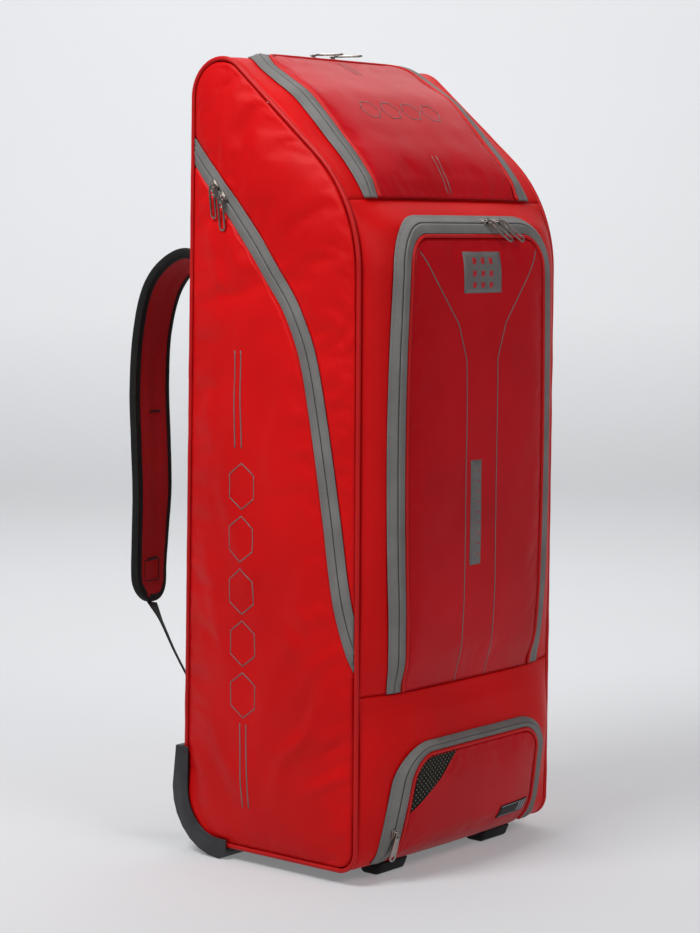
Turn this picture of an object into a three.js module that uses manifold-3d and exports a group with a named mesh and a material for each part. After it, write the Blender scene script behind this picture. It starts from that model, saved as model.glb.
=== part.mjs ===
// Cricket kit bag: a tall, stiff duffle that stands on two wheels and two feet.
// Lengths are in millimetres. x runs to the right, y to the back and z up; the front faces -y.
// The body is a long strip of cloth round the side outline, closed by a panel on each side.

import * as THREE from 'three';
import { mergeVertices } from 'three/addons/utils/BufferGeometryUtils.js';
import Module from 'manifold-3d';

const wasm = await Module();
wasm.setup();

// Main body
const bagHeight = 955;
const bodyWidth = 374;
const bodyDepth = 272;
const floorGap = 15;
const slopeAngle = 40.5;
const frontLean = 7;
const backLean = 23;
const toeRadius = 28;
const shoulderRadius = 178;
const crownRadius = 46;
const heelRadius = 62;
const bottomSeamHeight = 0.2325 * bagHeight;
const lidSeamHeight = 0.825 * bagHeight;
const guardSeamHeight = 118;

// Cloth and how far the packed bag swells
const clothWall = 2;
const seamGap = 0.5;
const rimGap = 0.8;
const layerGap = 0.4;
const pipingRadius = 2.8;
const pipingInset = 2;
const frontFill = 20;
const backFill = 6;
const sideFill = 12;

// Zips
const tapeWidth = 23;
const sideTapeWidth = 24;
const trimRadius = 2.2;
const tapeWall = 1.6;
const sliderLength = 13;
const sliderWidth = 9;
const sliderHeight = 5;
const sliderGap = 0.4;
const pullLength = 38;
const pullWidth = 10;
const pullThickness = 1.6;
const pullStart = 1.5;
const tabLength = 31;
const tabWidth = 10;
const tabHoleRadius = 2.6;

// Tall pocket
const tallHalfWidth = 157;
const tallTopHeight = 0.972 * lidSeamHeight;
const tallCorner = 58;
const tallRise = 4.6;
const tallCrown = 4.5;
const tallFoot = 45;
const tallBow = 0.07;

// Lower pocket
const lowerHalfWidth = 143;
const lowerFlare = 0.09;
const lowerTopHeight = 0.748 * bottomSeamHeight;
const lowerBottomHeight = 24;
const lowerCorner = 56;
const lowerRise = 7;
const lowerCrown = 5.5;
const lowerFoot = 30;
const ventReach = 70;
const labelLength = 58;
const labelHeight = 16;
const labelCentre = 82;
const labelFoot = 20;
const labelSlant = 2;
const patchWall = 1.2;
const patchGap = 0.8;

// Lid pocket
const lidHalfWidth = 157;
const lidCorner = 60;
const lidOverhang = 17;
const lidRise = 4.2;
const lidCrown = 2.5;
const lidFoot = 25;

// Back straps and handle
const strapReach = 143;
const strapTopHeight = 0.761 * bagHeight;
const strapEndHeight = 0.296 * bagHeight;
const strapSpacing = 0.535 * bodyWidth;
const strapWidth = 66;
const strapWall = 9;
const strapStub = 14;
const meshWall = 2;
const bindingWall = 2.6;
const bindingDepth = 13;
const webbingWidth = 25;
const webbingWall = 1.6;
const webbingAnchorHeight = 0.163 * bagHeight;
const webbingSeat = 20;
const yokeHeight = 0.974 * strapTopHeight;
const yokeWidth = 50;
const yokeWall = 14;
const yokeEndWall = 2;
const handleHeight = 0.913 * bagHeight;
const handleWidth = 33;
const handleWall = 3;
const handleReach = 27;

// Underside
const guardTopHeight = 130;
const guardBackWall = 10;
const guardHeelWall = 15;
const guardToeWall = 6;
const guardLip = 10;
const guardLipWall = 2.6;
const guardLipStand = 2.8;
const wheelRadius = 31;
const wheelWidth = 26;
const wheelBack = 0.379 * bodyDepth;
const wheelInset = 37;
const tyreWall = 9;
const wheelRoom = 4;
const guardFront = wheelBack - wheelRadius - wheelRoom;
const axleRadius = 4;
const axleGap = 0.4;
const axleEnd = 2;
const wellWall = 2.5;
const footLength = 52;
const footFront = -0.441 * bodyDepth;
const footBack = -0.309 * bodyDepth;
const footSpacing = 0.54 * bodyWidth;
const footSlope = 6;

// How the front and the slope swell between their seams: along is the share of the run from seam to
// seam, fill the share of frontFill, and square how flat the middle stays before it falls to the edges.
const swellRows = [
  { zone: 'lower', along: 0, fill: 0, square: 2.5 },
  { zone: 'lower', along: 0.12, fill: 0.25, square: 2.5 },
  { zone: 'lower', along: 0.27, fill: 0.68, square: 5 },
  { zone: 'lower', along: 0.445, fill: 1, square: 7 },
  { zone: 'lower', along: 0.665, fill: 1.3, square: 8 },
  { zone: 'lower', along: 0.86, fill: 1.05, square: 6 },
  { zone: 'upper', along: 0, fill: 0.75, square: 4 },
  { zone: 'upper', along: 0.06, fill: 0.9, square: 6 },
  { zone: 'upper', along: 0.185, fill: 1, square: 9 },
  { zone: 'upper', along: 0.45, fill: 1, square: 10 },
  { zone: 'upper', along: 0.737, fill: 1.05, square: 10 },
  { zone: 'upper', along: 0.85, fill: 1.1, square: 9 },
  { zone: 'upper', along: 0.925, fill: 0.95, square: 7 },
  { zone: 'upper', along: 0.968, fill: 0.5, square: 5 },
  { zone: 'slope', along: 0, fill: 0.15, square: 4 },
  { zone: 'slope', along: 0.12, fill: 0.12, square: 4 },
  { zone: 'slope', along: 0.3, fill: 0.3, square: 5 },
  { zone: 'slope', along: 0.45, fill: 0.5, square: 7 },
  { zone: 'slope', along: 0.6, fill: 0.62, square: 8 },
  { zone: 'slope', along: 0.75, fill: 0.35, square: 6 },
  { zone: 'slope', along: 0.87, fill: 0.08, square: 5 },
  { zone: 'slope', along: 1, fill: 0, square: 4 },
];

// The long zip of the left side, as shares of bagHeight and of half the body's depth.
const sideZipRows = [
  { up: 0.235, back: -1.17 },
  { up: 0.257, back: -1.074 },
  { up: 0.287, back: -0.956 },
  { up: 0.347, back: -0.831 },
  { up: 0.444, back: -0.735 },
  { up: 0.56, back: -0.61 },
  { up: 0.637, back: -0.5 },
  { up: 0.693, back: -0.331 },
  { up: 0.743, back: -0.074 },
  { up: 0.803, back: 0.272 },
  { up: 0.845, back: 0.559 },
  { up: 0.887, back: 0.868 },
  { up: 0.922, back: 1.14 },
];

// Soft dents of the side panels, as shares of bagHeight, half the depth and sideFill.
const sideDentRows = [
  { up: 0.12, back: 0.6, tall: 0.05, deep: 0.25, depth: 0.22 },
  { up: 0.3, back: -0.3, tall: 0.1, deep: 0.3, depth: 0.15 },
  { up: 0.62, back: 0.45, tall: 0.08, deep: 0.3, depth: 0.2 },
  { up: 0.8, back: -0.05, tall: 0.05, deep: 0.3, depth: 0.18 },
];

// A shoulder strap beyond its root on the yoke: out is the share of strapReach, up the share of
// the drop from strapTopHeight to strapEndHeight, and twist is in degrees.
const strapRows = [
  { out: 0.42, up: 0, twist: 0 },
  { out: 0.66, up: 0.03, twist: 3 },
  { out: 0.85, up: 0.1, twist: 6 },
  { out: 0.95, up: 0.22, twist: 7 },
  { out: 1, up: 0.38, twist: 6 },
  { out: 0.985, up: 0.54, twist: 6 },
  { out: 0.97, up: 0.68, twist: 8 },
  { out: 0.99, up: 0.82, twist: 14 },
  { out: 1, up: 0.93, twist: 22 },
  { out: 0.95, up: 1, twist: 30 },
];

// The webbing below a strap's tip, down to its seat on the lower back.
const webbingRows = [
  { out: 0.84, up: 0.22, twist: 50 },
  { out: 0.67, up: 0.5, twist: 65 },
  { out: 0.47, up: 0.76, twist: 45 },
  { out: 0.22, up: 0.93, twist: 15 },
];

// Sliders on their zips: place is the share of bagHeight on the side, of the pocket's half width on
// top of a pocket and of bagHeight beside the lower one. Turn is the slider's and hang its pull's
// direction and drop how far the pull tips towards the cloth, all in degrees; sink is in mm.
const sliderRows = [
  { zip: 'side_zip', place: 0.844, turn: 225, hang: 180, drop: 6, sink: 0 },
  { zip: 'side_zip', place: 0.829, turn: 225, hang: 180, drop: 6, sink: 0.5 },
  { zip: 'tall_pocket', place: 0.153, turn: 90, hang: 137, drop: 0, sink: 0 },
  { zip: 'tall_pocket', place: 0.3, turn: 90, hang: 137, drop: 0, sink: 0 },
  { zip: 'lid', place: -0.09, turn: 90, hang: 118, drop: 0, sink: 0 },
  { zip: 'lid', place: 0.14, turn: 90, hang: 118, drop: 0, sink: 0 },
  { zip: 'lower_pocket', place: 0.061, turn: 180, hang: 180, drop: 4, sink: 0 },
];

// Shares of the half width where the cloth panels have a line of points, and the least distance
// between two lines along the strip and on the underside.
const acrossShares = [-1, -0.94, -0.82, -0.5, 0, 0.5, 0.82, 0.94, 1];
const lineStep = 9;
const baseStep = 4;

// Materials
const finishes = {
  cloth: { color: 0xc81c1c, roughness: 0.55, metalness: 0 },
  coated: { color: 0xa01226, roughness: 0.32, metalness: 0 },
  piping: { color: 0xb91414, roughness: 0.5, metalness: 0 },
  tape: { color: 0x77787c, roughness: 0.7, metalness: 0 },
  metal: { color: 0x8c8784, roughness: 0.3, metalness: 1 },
  webbing: { color: 0x161518, roughness: 0.8, metalness: 0 },
  mesh: { color: 0x6e0a10, roughness: 0.85, metalness: 0 },
  moulded: { color: 0x2a2a2d, roughness: 0.5, metalness: 0 },
  rubber: { color: 0x17171a, roughness: 0.75, metalness: 0 },
  hub: { color: 0x4a4b50, roughness: 0.45, metalness: 0 },
};

const bag = new THREE.Group();

function addPiece(name, finish, geometry) {
  geometry.computeVertexNormals();
  const piece = new THREE.Mesh(geometry, new THREE.MeshStandardMaterial(finishes[finish]));
  piece.name = name;
  bag.add(piece);
  return piece;
}

// Mesh helpers

function facingOut(geometry) {
  const position = geometry.getAttribute('position');
  const index = geometry.getIndex().array;
  const a = new THREE.Vector3();
  const b = new THREE.Vector3();
  const c = new THREE.Vector3();
  let volume = 0;
  for (let i = 0; i < index.length; i += 3) {
    a.fromBufferAttribute(position, index[i]);
    b.fromBufferAttribute(position, index[i + 1]);
    c.fromBufferAttribute(position, index[i + 2]);
    volume += a.dot(b.cross(c));
  }
  if (volume < 0) {
    for (let i = 0; i < index.length; i += 3) {
      [index[i + 1], index[i + 2]] = [index[i + 2], index[i + 1]];
    }
  }
  return geometry;
}

// A closed solid through a row of sections. Each section is a ring with an even number of points,
// and the two halves of a ring are divided alike, so that sheets laid on each other stay apart.
// A closed loft joins its last section to its first; an open one has a cap at each end.
function loftSolid(sections, closed = false) {
  const ring = sections[0].length;
  const faces = [];
  const spans = closed ? sections.length : sections.length - 1;
  for (let i = 0; i < spans; i += 1) {
    const here = i * ring;
    const next = ((i + 1) % sections.length) * ring;
    for (let j = 0; j < ring; j += 1) {
      const k = (j + 1) % ring;
      if (j < ring / 2) faces.push(here + j, here + k, next + k, here + j, next + k, next + j);
      else faces.push(here + j, here + k, next + j, here + k, next + k, next + j);
    }
  }
  if (!closed) {
    const last = (sections.length - 1) * ring;
    for (let j = 0; j < ring / 2 - 1; j += 1) {
      const far = ring - 1 - j;
      faces.push(j + 1, j, far, j + 1, far, far - 1);
      faces.push(last + j, last + j + 1, last + far - 1, last + j, last + far - 1, last + far);
    }
  }
  const geometry = new THREE.BufferGeometry();
  const points = sections.flat().flatMap((point) => point.toArray());
  geometry.setAttribute('position', new THREE.Float32BufferAttribute(points, 3));
  geometry.setIndex(faces);
  return facingOut(geometry);
}

function mirrored(geometry) {
  const copy = geometry.clone();
  copy.scale(-1, 1, 1);
  return facingOut(copy);
}

function toManifold(geometry) {
  const bare = geometry.clone();
  bare.deleteAttribute('normal');
  bare.deleteAttribute('uv');
  const merged = mergeVertices(bare, 1e-4);
  return new wasm.Manifold(new wasm.Mesh({
    numProp: 3,
    vertProperties: new Float32Array(merged.getAttribute('position').array),
    triVerts: new Uint32Array(merged.getIndex().array),
  }));
}

function fromManifold(solid) {
  const mesh = solid.getMesh();
  const geometry = new THREE.BufferGeometry();
  geometry.setAttribute('position', new THREE.BufferAttribute(new Float32Array(mesh.vertProperties), 3));
  geometry.setIndex(new THREE.BufferAttribute(new Uint32Array(mesh.triVerts), 1));
  return geometry;
}

// A cylinder across the bag, centred on a point.
function crossCylinder(radius, length, centre, sides = 20) {
  const geometry = new THREE.CylinderGeometry(radius, radius, length, sides);
  geometry.rotateZ(Math.PI / 2);
  geometry.translate(centre.x, centre.y, centre.z);
  return geometry;
}

// A smooth value between the rows of a table, with no overshoot.
function smoothValue(rows, key, column, at) {
  const last = rows.length - 1;
  if (at <= rows[0][key]) return rows[0][column];
  if (at >= rows[last][key]) return rows[last][column];
  let i = 0;
  while (rows[i + 1][key] < at) i += 1;
  const slope = (k) => (rows[k + 1][column] - rows[k][column]) / (rows[k + 1][key] - rows[k][key]);
  const tangent = (k) => {
    if (k === 0) return slope(0);
    if (k === last) return slope(last - 1);
    const before = slope(k - 1);
    const after = slope(k);
    return before * after <= 0 ? 0 : (2 * before * after) / (before + after);
  };
  const span = rows[i + 1][key] - rows[i][key];
  const t = (at - rows[i][key]) / span;
  const rise = t * t * (3 - 2 * t);
  return rows[i][column] * (1 - rise) + rows[i + 1][column] * rise
    + span * t * (1 - t) * ((1 - t) * tangent(i) - t * tangent(i + 1));
}

// The side outline: a closed run of lines and arcs with the outward normal at each length s.
// It starts in the middle of the base and runs forwards, up the front, over the top and down the back.
function roundedOutline(corners) {
  const count = corners.length;
  const arcs = corners.map((corner, i) => {
    const before = corners[(i + count - 1) % count];
    const after = corners[(i + 1) % count];
    const arriving = new THREE.Vector2(corner.y - before.y, corner.z - before.z).normalize();
    const leaving = new THREE.Vector2(after.y - corner.y, after.z - corner.z).normalize();
    const turn = Math.acos(arriving.dot(leaving));
    const reach = corner.radius * Math.tan(turn / 2);
    const start = { y: corner.y - arriving.x * reach, z: corner.z - arriving.y * reach };
    return {
      start,
      end: { y: corner.y + leaving.x * reach, z: corner.z + leaving.y * reach },
      centre: { y: start.y + arriving.y * corner.radius, z: start.z - arriving.x * corner.radius },
      radius: corner.radius,
      from: Math.atan2(arriving.x, -arriving.y),
      turn,
    };
  });
  const pieces = [];
  let length = 0;
  const addLine = (a, b) => {
    const run = Math.hypot(b.y - a.y, b.z - a.z);
    pieces.push({ from: length, run, a, b });
    length += run;
  };
  const baseMiddle = { y: (arcs[0].start.y + arcs[count - 1].end.y) / 2, z: arcs[0].start.z };
  let here = baseMiddle;
  arcs.forEach((arc) => {
    addLine(here, arc.start);
    pieces.push({ from: length, run: arc.radius * arc.turn, arc });
    length += arc.radius * arc.turn;
    here = arc.end;
  });
  addLine(here, baseMiddle);

  const at = (s) => {
    const piece = pieces.find((item) => s <= item.from + item.run) ?? pieces[pieces.length - 1];
    const t = (s - piece.from) / piece.run;
    if (piece.arc) {
      const angle = piece.arc.from - piece.arc.turn * t;
      const ny = Math.cos(angle);
      const nz = Math.sin(angle);
      const { centre, radius } = piece.arc;
      return { y: centre.y + ny * radius, z: centre.z + nz * radius, ny, nz };
    }
    const dy = (piece.b.y - piece.a.y) / piece.run;
    const dz = (piece.b.z - piece.a.z) / piece.run;
    return { y: piece.a.y + dy * piece.run * t, z: piece.a.z + dz * piece.run * t, ny: -dz, nz: dy };
  };
  const top = pieces[5].from + arcs[2].radius * (arcs[2].from - Math.PI / 2);
  return { at, pieces, length, top };
}

// The crown's arc touches bagHeight, the back line and the slope; the shoulder is where the slope
// meets the front line.
function bagCorners() {
  const half = bodyDepth / 2;
  const rise = bagHeight - floorGap;
  const slope = THREE.MathUtils.degToRad(slopeAngle);
  const toe = { y: -half + frontLean / 2, z: floorGap, radius: toeRadius };
  const heel = { y: half + frontLean, z: floorGap, radius: heelRadius };
  const frontSlope = -frontLean / rise;
  const backSlope = -backLean / rise;
  const centreZ = bagHeight - crownRadius;
  const centreY = heel.y + backSlope * (centreZ - floorGap) - crownRadius * Math.hypot(1, backSlope);
  const touch = { y: centreY - crownRadius * Math.sin(slope), z: centreZ + crownRadius * Math.cos(slope) };
  const climb = Math.tan(slope);
  const shoulderY = (toe.y + frontSlope * (touch.z - climb * touch.y - toe.z)) / (1 - frontSlope * climb);
  const shoulder = { y: shoulderY, z: touch.z + climb * (shoulderY - touch.y), radius: shoulderRadius };
  const crownZ = (touch.z + climb * (heel.y - backSlope * heel.z - touch.y)) / (1 - climb * backSlope);
  const crown = { y: heel.y + backSlope * (crownZ - heel.z), z: crownZ, radius: crownRadius };
  return [toe, shoulder, crown, heel];
}

const outline = roundedOutline(bagCorners());
const toeStart = outline.pieces[1].from;
const heelStart = outline.pieces[7].from;

function solveRising(from, to, wanted, value) {
  let low = from;
  let high = to;
  const rising = value(to) > value(from);
  for (let i = 0; i < 50; i += 1) {
    const middle = (low + high) / 2;
    if ((value(middle) < wanted) === rising) low = middle;
    else high = middle;
  }
  return (low + high) / 2;
}

const frontAt = (height) => solveRising(toeStart, outline.top, height, (s) => outline.at(s).z);
const backAt = (height) => solveRising(outline.top, heelStart, height, (s) => outline.at(s).z);

const bottomSeam = frontAt(bottomSeamHeight);
const lidSeam = frontAt(lidSeamHeight);
const guardSeam = backAt(guardSeamHeight);
const guardTop = backAt(guardTopHeight);
const heelEnd = heelStart + outline.pieces[7].run;

// The strip of cloth round the outline and its swell

const stripHalf = bodyWidth / 2 - pipingInset - pipingRadius - layerGap;

const zones = {
  lower: { from: toeStart, to: bottomSeam },
  upper: { from: bottomSeam, to: lidSeam },
  slope: { from: lidSeam, to: outline.top },
};
const swell = swellRows.map((row) => ({
  s: zones[row.zone].from + row.along * (zones[row.zone].to - zones[row.zone].from),
  fill: row.fill,
  square: row.square,
}));

function stripRise(x, s) {
  const share = Math.min(1, Math.abs(x) / stripHalf);
  if (s <= outline.top) {
    const square = smoothValue(swell, 's', 'square', s);
    return frontFill * smoothValue(swell, 's', 'fill', s) * (1 - share ** square);
  }
  const t = (s - outline.top) / (guardTop - outline.top);
  return t >= 1 ? 0 : backFill * 4 * t * (1 - t) * (1 - share ** 4);
}

// A point over the strip: x across, s along the outline, lift above the cloth's outer face.
function stripPoint(x, s, lift) {
  const spot = outline.at(s);
  const out = stripRise(x, s) + lift;
  return new THREE.Vector3(x, spot.y + spot.ny * out, spot.z + spot.nz * out);
}

// The shared lengths at which every layer over the strip has a line of points.
function outlineStations() {
  const turnStep = THREE.MathUtils.degToRad(15);
  const marks = [];
  outline.pieces.forEach((piece) => {
    const count = piece.arc ? Math.ceil(piece.arc.turn / turnStep) : 1;
    for (let k = 0; k < count; k += 1) marks.push(piece.from + (piece.run * k) / count);
  });
  return marks;
}

const turnStations = outlineStations();
const sharedStations = [...turnStations, ...swell.map((row) => row.s)].sort((a, b) => a - b);

function stationsBetween(from, to, closest = lineStep) {
  const list = [from];
  sharedStations.forEach((s) => {
    if (s > list[list.length - 1] + closest && s < to - closest) list.push(s);
  });
  list.push(to);
  return list;
}

// A ring of points for one line across a sheet: the upper face one way and the lower face back.
function sheetRing(upper, lower) {
  return [...upper, ...lower.reverse()];
}

function stripPanel(from, to) {
  const sections = stationsBetween(from, to).map((s) => sheetRing(
    acrossShares.map((share) => stripPoint(share * stripHalf, s, 0)),
    acrossShares.map((share) => stripPoint(share * stripHalf, s, -clothWall)),
  ));
  return loftSolid(sections);
}

// Side panels

const rimInset = pipingInset + pipingRadius + rimGap;
const sideBottom = floorGap + rimInset;
const sideTop = bagHeight - rimInset;
const sideCrest = sideTop - seamGap;

function rimEdge(z, from, to) {
  const s = solveRising(from, to, z, (length) => {
    const spot = outline.at(length);
    return spot.z - spot.nz * rimInset;
  });
  const spot = outline.at(s);
  return spot.y - spot.ny * rimInset;
}

const frontRim = (z) => rimEdge(z, toeStart, outline.top);
const backRim = (z) => rimEdge(z, outline.top, heelEnd);

function sideSwell(y, z) {
  const front = frontRim(z);
  const back = backRim(z);
  const across = Math.abs((2 * (y - front)) / (back - front) - 1);
  const up = Math.abs((2 * (z - sideBottom)) / (sideTop - sideBottom) - 1);
  const dents = sideDentRows.reduce((sum, row) => {
    const dz = (z / bagHeight - row.up) / row.tall;
    const dy = ((2 * y) / bodyDepth - row.back) / row.deep;
    return sum + row.depth * Math.exp(-dz * dz - dy * dy);
  }, 0);
  const edge = (1 - Math.min(1, across) ** 2.6) * (1 - Math.min(1, up) ** 6);
  return sideFill * edge * (1 - dents);
}

// A point over the left side: y and z in the side view, lift outwards.
function sidePoint(y, z, lift) {
  return new THREE.Vector3(-(bodyWidth / 2 + sideSwell(y, z) + lift), y, z);
}

function zipCentre(z) {
  return (bodyDepth / 2) * smoothValue(sideZipRows, 'up', 'back', z / bagHeight);
}

function zipReach(z, half) {
  const step = 1;
  return half * Math.hypot(1, (zipCentre(z + step) - zipCentre(z - step)) / (2 * step));
}

const tapeHalf = sideTapeWidth / 2;
const zipEdge = (z, side, gap) => zipCentre(z) + side * zipReach(z, tapeHalf + gap);

// Heights where the zip's edges run out at the front rim and at the back rim.
const zipMeets = (side, gap, rim) => solveRising(
  bagHeight * sideZipRows[0].up,
  bagHeight * sideZipRows[sideZipRows.length - 1].up,
  0,
  (z) => zipEdge(z, side, gap) - rim(z),
);
const zipFoot = zipMeets(1, 0, frontRim);
const zipFootGap = zipMeets(1, seamGap, frontRim);
const zipHeel = zipMeets(-1, seamGap, frontRim);
const zipHead = zipMeets(-1, 0, backRim);
const zipCrest = zipMeets(1, seamGap, backRim);

function sideRows() {
  const rows = [sideBottom, sideCrest, zipFoot, zipFootGap, zipHeel, zipHead, zipCrest];
  turnStations.forEach((s) => {
    const spot = outline.at(s);
    const z = spot.z - spot.nz * rimInset;
    if (z > sideBottom + 3 && z < sideTop - 3) rows.push(z);
  });
  const step = 75;
  for (let z = sideBottom + step; z < sideTop; z += step) rows.push(z);
  return rows.sort((a, b) => a - b);
}

const sharedRows = sideRows();

// A sheet on the side between two edges that are given by height.
function sidePanel(bottom, top, frontEdge, backEdge, across, lift = 0, wall = clothWall) {
  const rows = [bottom];
  sharedRows.forEach((z) => {
    if (z > rows[rows.length - 1] + lineStep && z < top - lineStep) rows.push(z);
  });
  rows.push(top);
  const sections = rows.map((z) => {
    const front = frontEdge(z);
    const back = backEdge(z);
    const spots = across.map((share) => front + share * (back - front));
    return sheetRing(
      spots.map((y) => sidePoint(y, z, lift)),
      spots.map((y) => sidePoint(y, z, lift - wall)),
    );
  });
  return loftSolid(sections);
}

function addSides() {
  const whole = [0, 0.08, 0.25, 0.5, 0.75, 0.92, 1];
  const part = [0, 0.08, 0.3, 0.65, 1];
  const sliver = 2;
  const right = sidePanel(sideBottom, sideCrest, frontRim, backRim, whole);
  addPiece('side_right', 'cloth', mirrored(right));
  const frontTop = (z) => (z > zipHead ? backRim(z) : zipEdge(z, -1, seamGap));
  addPiece('side_left_front', 'cloth', sidePanel(zipHeel + sliver, sideCrest, frontRim, frontTop, part));
  const rearFront = (z) => (z < zipFootGap ? frontRim(z) : zipEdge(z, 1, seamGap));
  addPiece('side_left_rear', 'cloth', sidePanel(sideBottom, zipCrest - sliver, rearFront, backRim, part));
  const tapeFront = (z) => Math.max(frontRim(z), zipEdge(z, -1, 0));
  const tapeBack = (z) => Math.min(backRim(z), zipEdge(z, 1, 0));
  const tape = sidePanel(zipFoot + sliver, zipHead - sliver, tapeFront, tapeBack, [0, 0.5, 1], 0, tapeWall);
  addPiece('side_zip_tape', 'tape', tape);
}

// Piping round each side
function pipingLoop() {
  const x = -(bodyWidth / 2 - pipingInset);
  const sides = 6;
  const sections = turnStations.map((s) => {
    const spot = outline.at(s);
    const ring = [];
    for (let k = 0; k < sides; k += 1) {
      const angle = (2 * Math.PI * (k + 0.5)) / sides;
      const out = pipingRadius * Math.sin(angle) - pipingInset;
      ring.push(new THREE.Vector3(
        x + pipingRadius * Math.cos(angle),
        spot.y + spot.ny * out,
        spot.z + spot.nz * out,
      ));
    }
    return ring;
  });
  return loftSolid(sections, true);
}

function addBody() {
  const half = seamGap / 2;
  addPiece('front_lower', 'cloth', stripPanel(toeStart, bottomSeam - half));
  addPiece('front_upper', 'cloth', stripPanel(bottomSeam + half, lidSeam - half));
  addPiece('top_panel', 'cloth', stripPanel(lidSeam + half, outline.pieces[6].from));
  addPiece('back_panel', 'cloth', stripPanel(outline.pieces[6].from + seamGap, guardSeam - half));
  const piping = pipingLoop();
  addPiece('piping_left', 'piping', piping);
  addPiece('piping_right', 'piping', mirrored(piping));
}

// Pockets
// A pocket is an upright shape on a surface with a straight foot and a rounded head. Its rim is a
// list of stations from the left foot over the head to the right foot; offset moves it outwards.

function pocketRim(shape) {
  const { top, halfWidth, corner, stations, turnSteps = 4 } = shape;
  const straight = stations.filter((s) => s < top - corner - 1);
  const rim = straight.map((s) => ({ x: halfWidth, s, nx: 1, ns: 0 }));
  for (let k = 0; k <= turnSteps; k += 1) {
    const angle = (Math.PI / 2) * (k / turnSteps);
    const nx = Math.cos(angle);
    const ns = Math.sin(angle);
    rim.push({ x: halfWidth - corner + corner * nx, s: top - corner + corner * ns, nx, ns });
  }
  const left = rim.map((spot) => ({ ...spot, x: -spot.x, nx: -spot.nx }));
  return [...left, ...rim.reverse()];
}

// Where a rim station lies on the surface after an offset outwards.
function rimSpot(shape, spot, offset) {
  const s = spot.s + spot.ns * offset;
  const bow = shape.bow ? shape.bow(s) : 1;
  return { x: (spot.x + spot.nx * offset) * bow, s };
}

// A flat band that follows the rim between two offsets, each with its own lift.
function rimBand(shape, edges, wall) {
  const sections = pocketRim(shape).map((spot) => {
    const place = (edge, drop) => {
      const at = rimSpot(shape, spot, edge.offset);
      return shape.surface(at.x, at.s, edge.lift(at.s) - drop);
    };
    return sheetRing(edges.map((edge) => place(edge, 0)), edges.map((edge) => place(edge, wall)));
  });
  return loftSolid(sections);
}

function rimTube(shape, offset, lift, radius, sides = 6) {
  const sections = pocketRim(shape).map((spot) => {
    const ring = [];
    for (let k = 0; k < sides; k += 1) {
      const angle = (2 * Math.PI * k) / sides;
      const at = rimSpot(shape, spot, offset + radius * Math.cos(angle));
      ring.push(shape.surface(at.x, at.s, lift(at.s) + radius * Math.sin(angle)));
    }
    return ring;
  });
  return loftSolid(sections);
}

// The panel inside the rim, row by row from foot to head.
function rimPanel(shape, offset, lift, wall, shares) {
  const rows = pocketRim(shape).filter((spot) => spot.x > 0).reverse();
  const sections = rows.map((spot) => {
    const at = rimSpot(shape, spot, offset);
    const place = (share, drop) => shape.surface(at.x * share, at.s, lift(at.x * share, at.s) - drop);
    return sheetRing(shares.map((share) => place(share, 0)), shares.map((share) => place(share, wall)));
  });
  return loftSolid(sections);
}

// Lifts of a pocket's upper face: it leaves the cloth at the foot and stands off by rise further up.
function pocketLifts(shape) {
  const seat = layerGap + shape.wall;
  const standing = (s) => THREE.MathUtils.smoothstep(s, shape.bottom, shape.bottom + shape.foot);
  const outer = () => seat;
  const inner = (s) => seat + shape.rise * standing(s);
  const reach = shape.top - shape.bottom;
  const panel = (x, s) => {
    const share = Math.min(1, Math.abs(x) / shape.halfWidth);
    const along = THREE.MathUtils.clamp((s - shape.bottom) / reach, 0, 1);
    const crown = shape.crown * (1 - share ** 3) * Math.sin(Math.PI * along) ** 0.7;
    return inner(s) + crown;
  };
  return { outer, inner, panel };
}

const pocketShares = [-1, -0.9, -0.6, 0, 0.6, 0.9, 1];
const tapeCrest = 0.8;

// Tape, trim and panel of one pocket, from the outside in.
function addPocket(name, shape) {
  const lifts = pocketLifts(shape);
  const trimOffset = -trimRadius - layerGap;
  const panelOffset = trimOffset - trimRadius - layerGap;
  const middle = (s) => lifts.outer(s) + tapeCrest * (lifts.inner(s) - lifts.outer(s));
  const edges = [
    { offset: tapeWidth, lift: lifts.outer },
    { offset: tapeWidth / 2, lift: middle },
    { offset: 0, lift: lifts.inner },
  ];
  addPiece(`${name}_tape`, 'tape', rimBand(shape, edges, tapeWall));
  const trimLift = (s) => Math.max(lifts.inner(s) - trimRadius / 2, layerGap + trimRadius);
  addPiece(`${name}_piping`, 'piping', rimTube(shape, trimOffset, trimLift, trimRadius));
  addPiece(`${name}_panel`, 'coated', rimPanel(shape, panelOffset, lifts.panel, shape.wall, pocketShares));
  return { shape, lifts, middle };
}

function pocketShape(values) {
  const { bottom, top, outerHalf, outerCorner } = values;
  const inTop = top - tapeWidth;
  return {
    wall: clothWall,
    surface: stripPoint,
    ...values,
    top: inTop,
    halfWidth: outerHalf - tapeWidth,
    corner: outerCorner - tapeWidth,
    stations: stationsBetween(bottom, inTop),
  };
}

function tallBowAt(s) {
  const middle = (bottomSeam + frontAt(tallTopHeight)) / 2;
  return 1 - tallBow * ((s - middle) / (middle - bottomSeam)) ** 2;
}

const tallPocket = pocketShape({
  bottom: bottomSeam + seamGap,
  top: frontAt(tallTopHeight),
  outerHalf: tallHalfWidth,
  outerCorner: tallCorner,
  rise: tallRise,
  crown: tallCrown,
  foot: tallFoot,
  bow: tallBowAt,
});
// The lower pocket grows wider towards its foot.
function lowerFlareAt(s) {
  const foot = frontAt(lowerBottomHeight);
  return 1 + lowerFlare * (1 - (s - foot) / (frontAt(lowerTopHeight) - foot));
}

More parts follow.
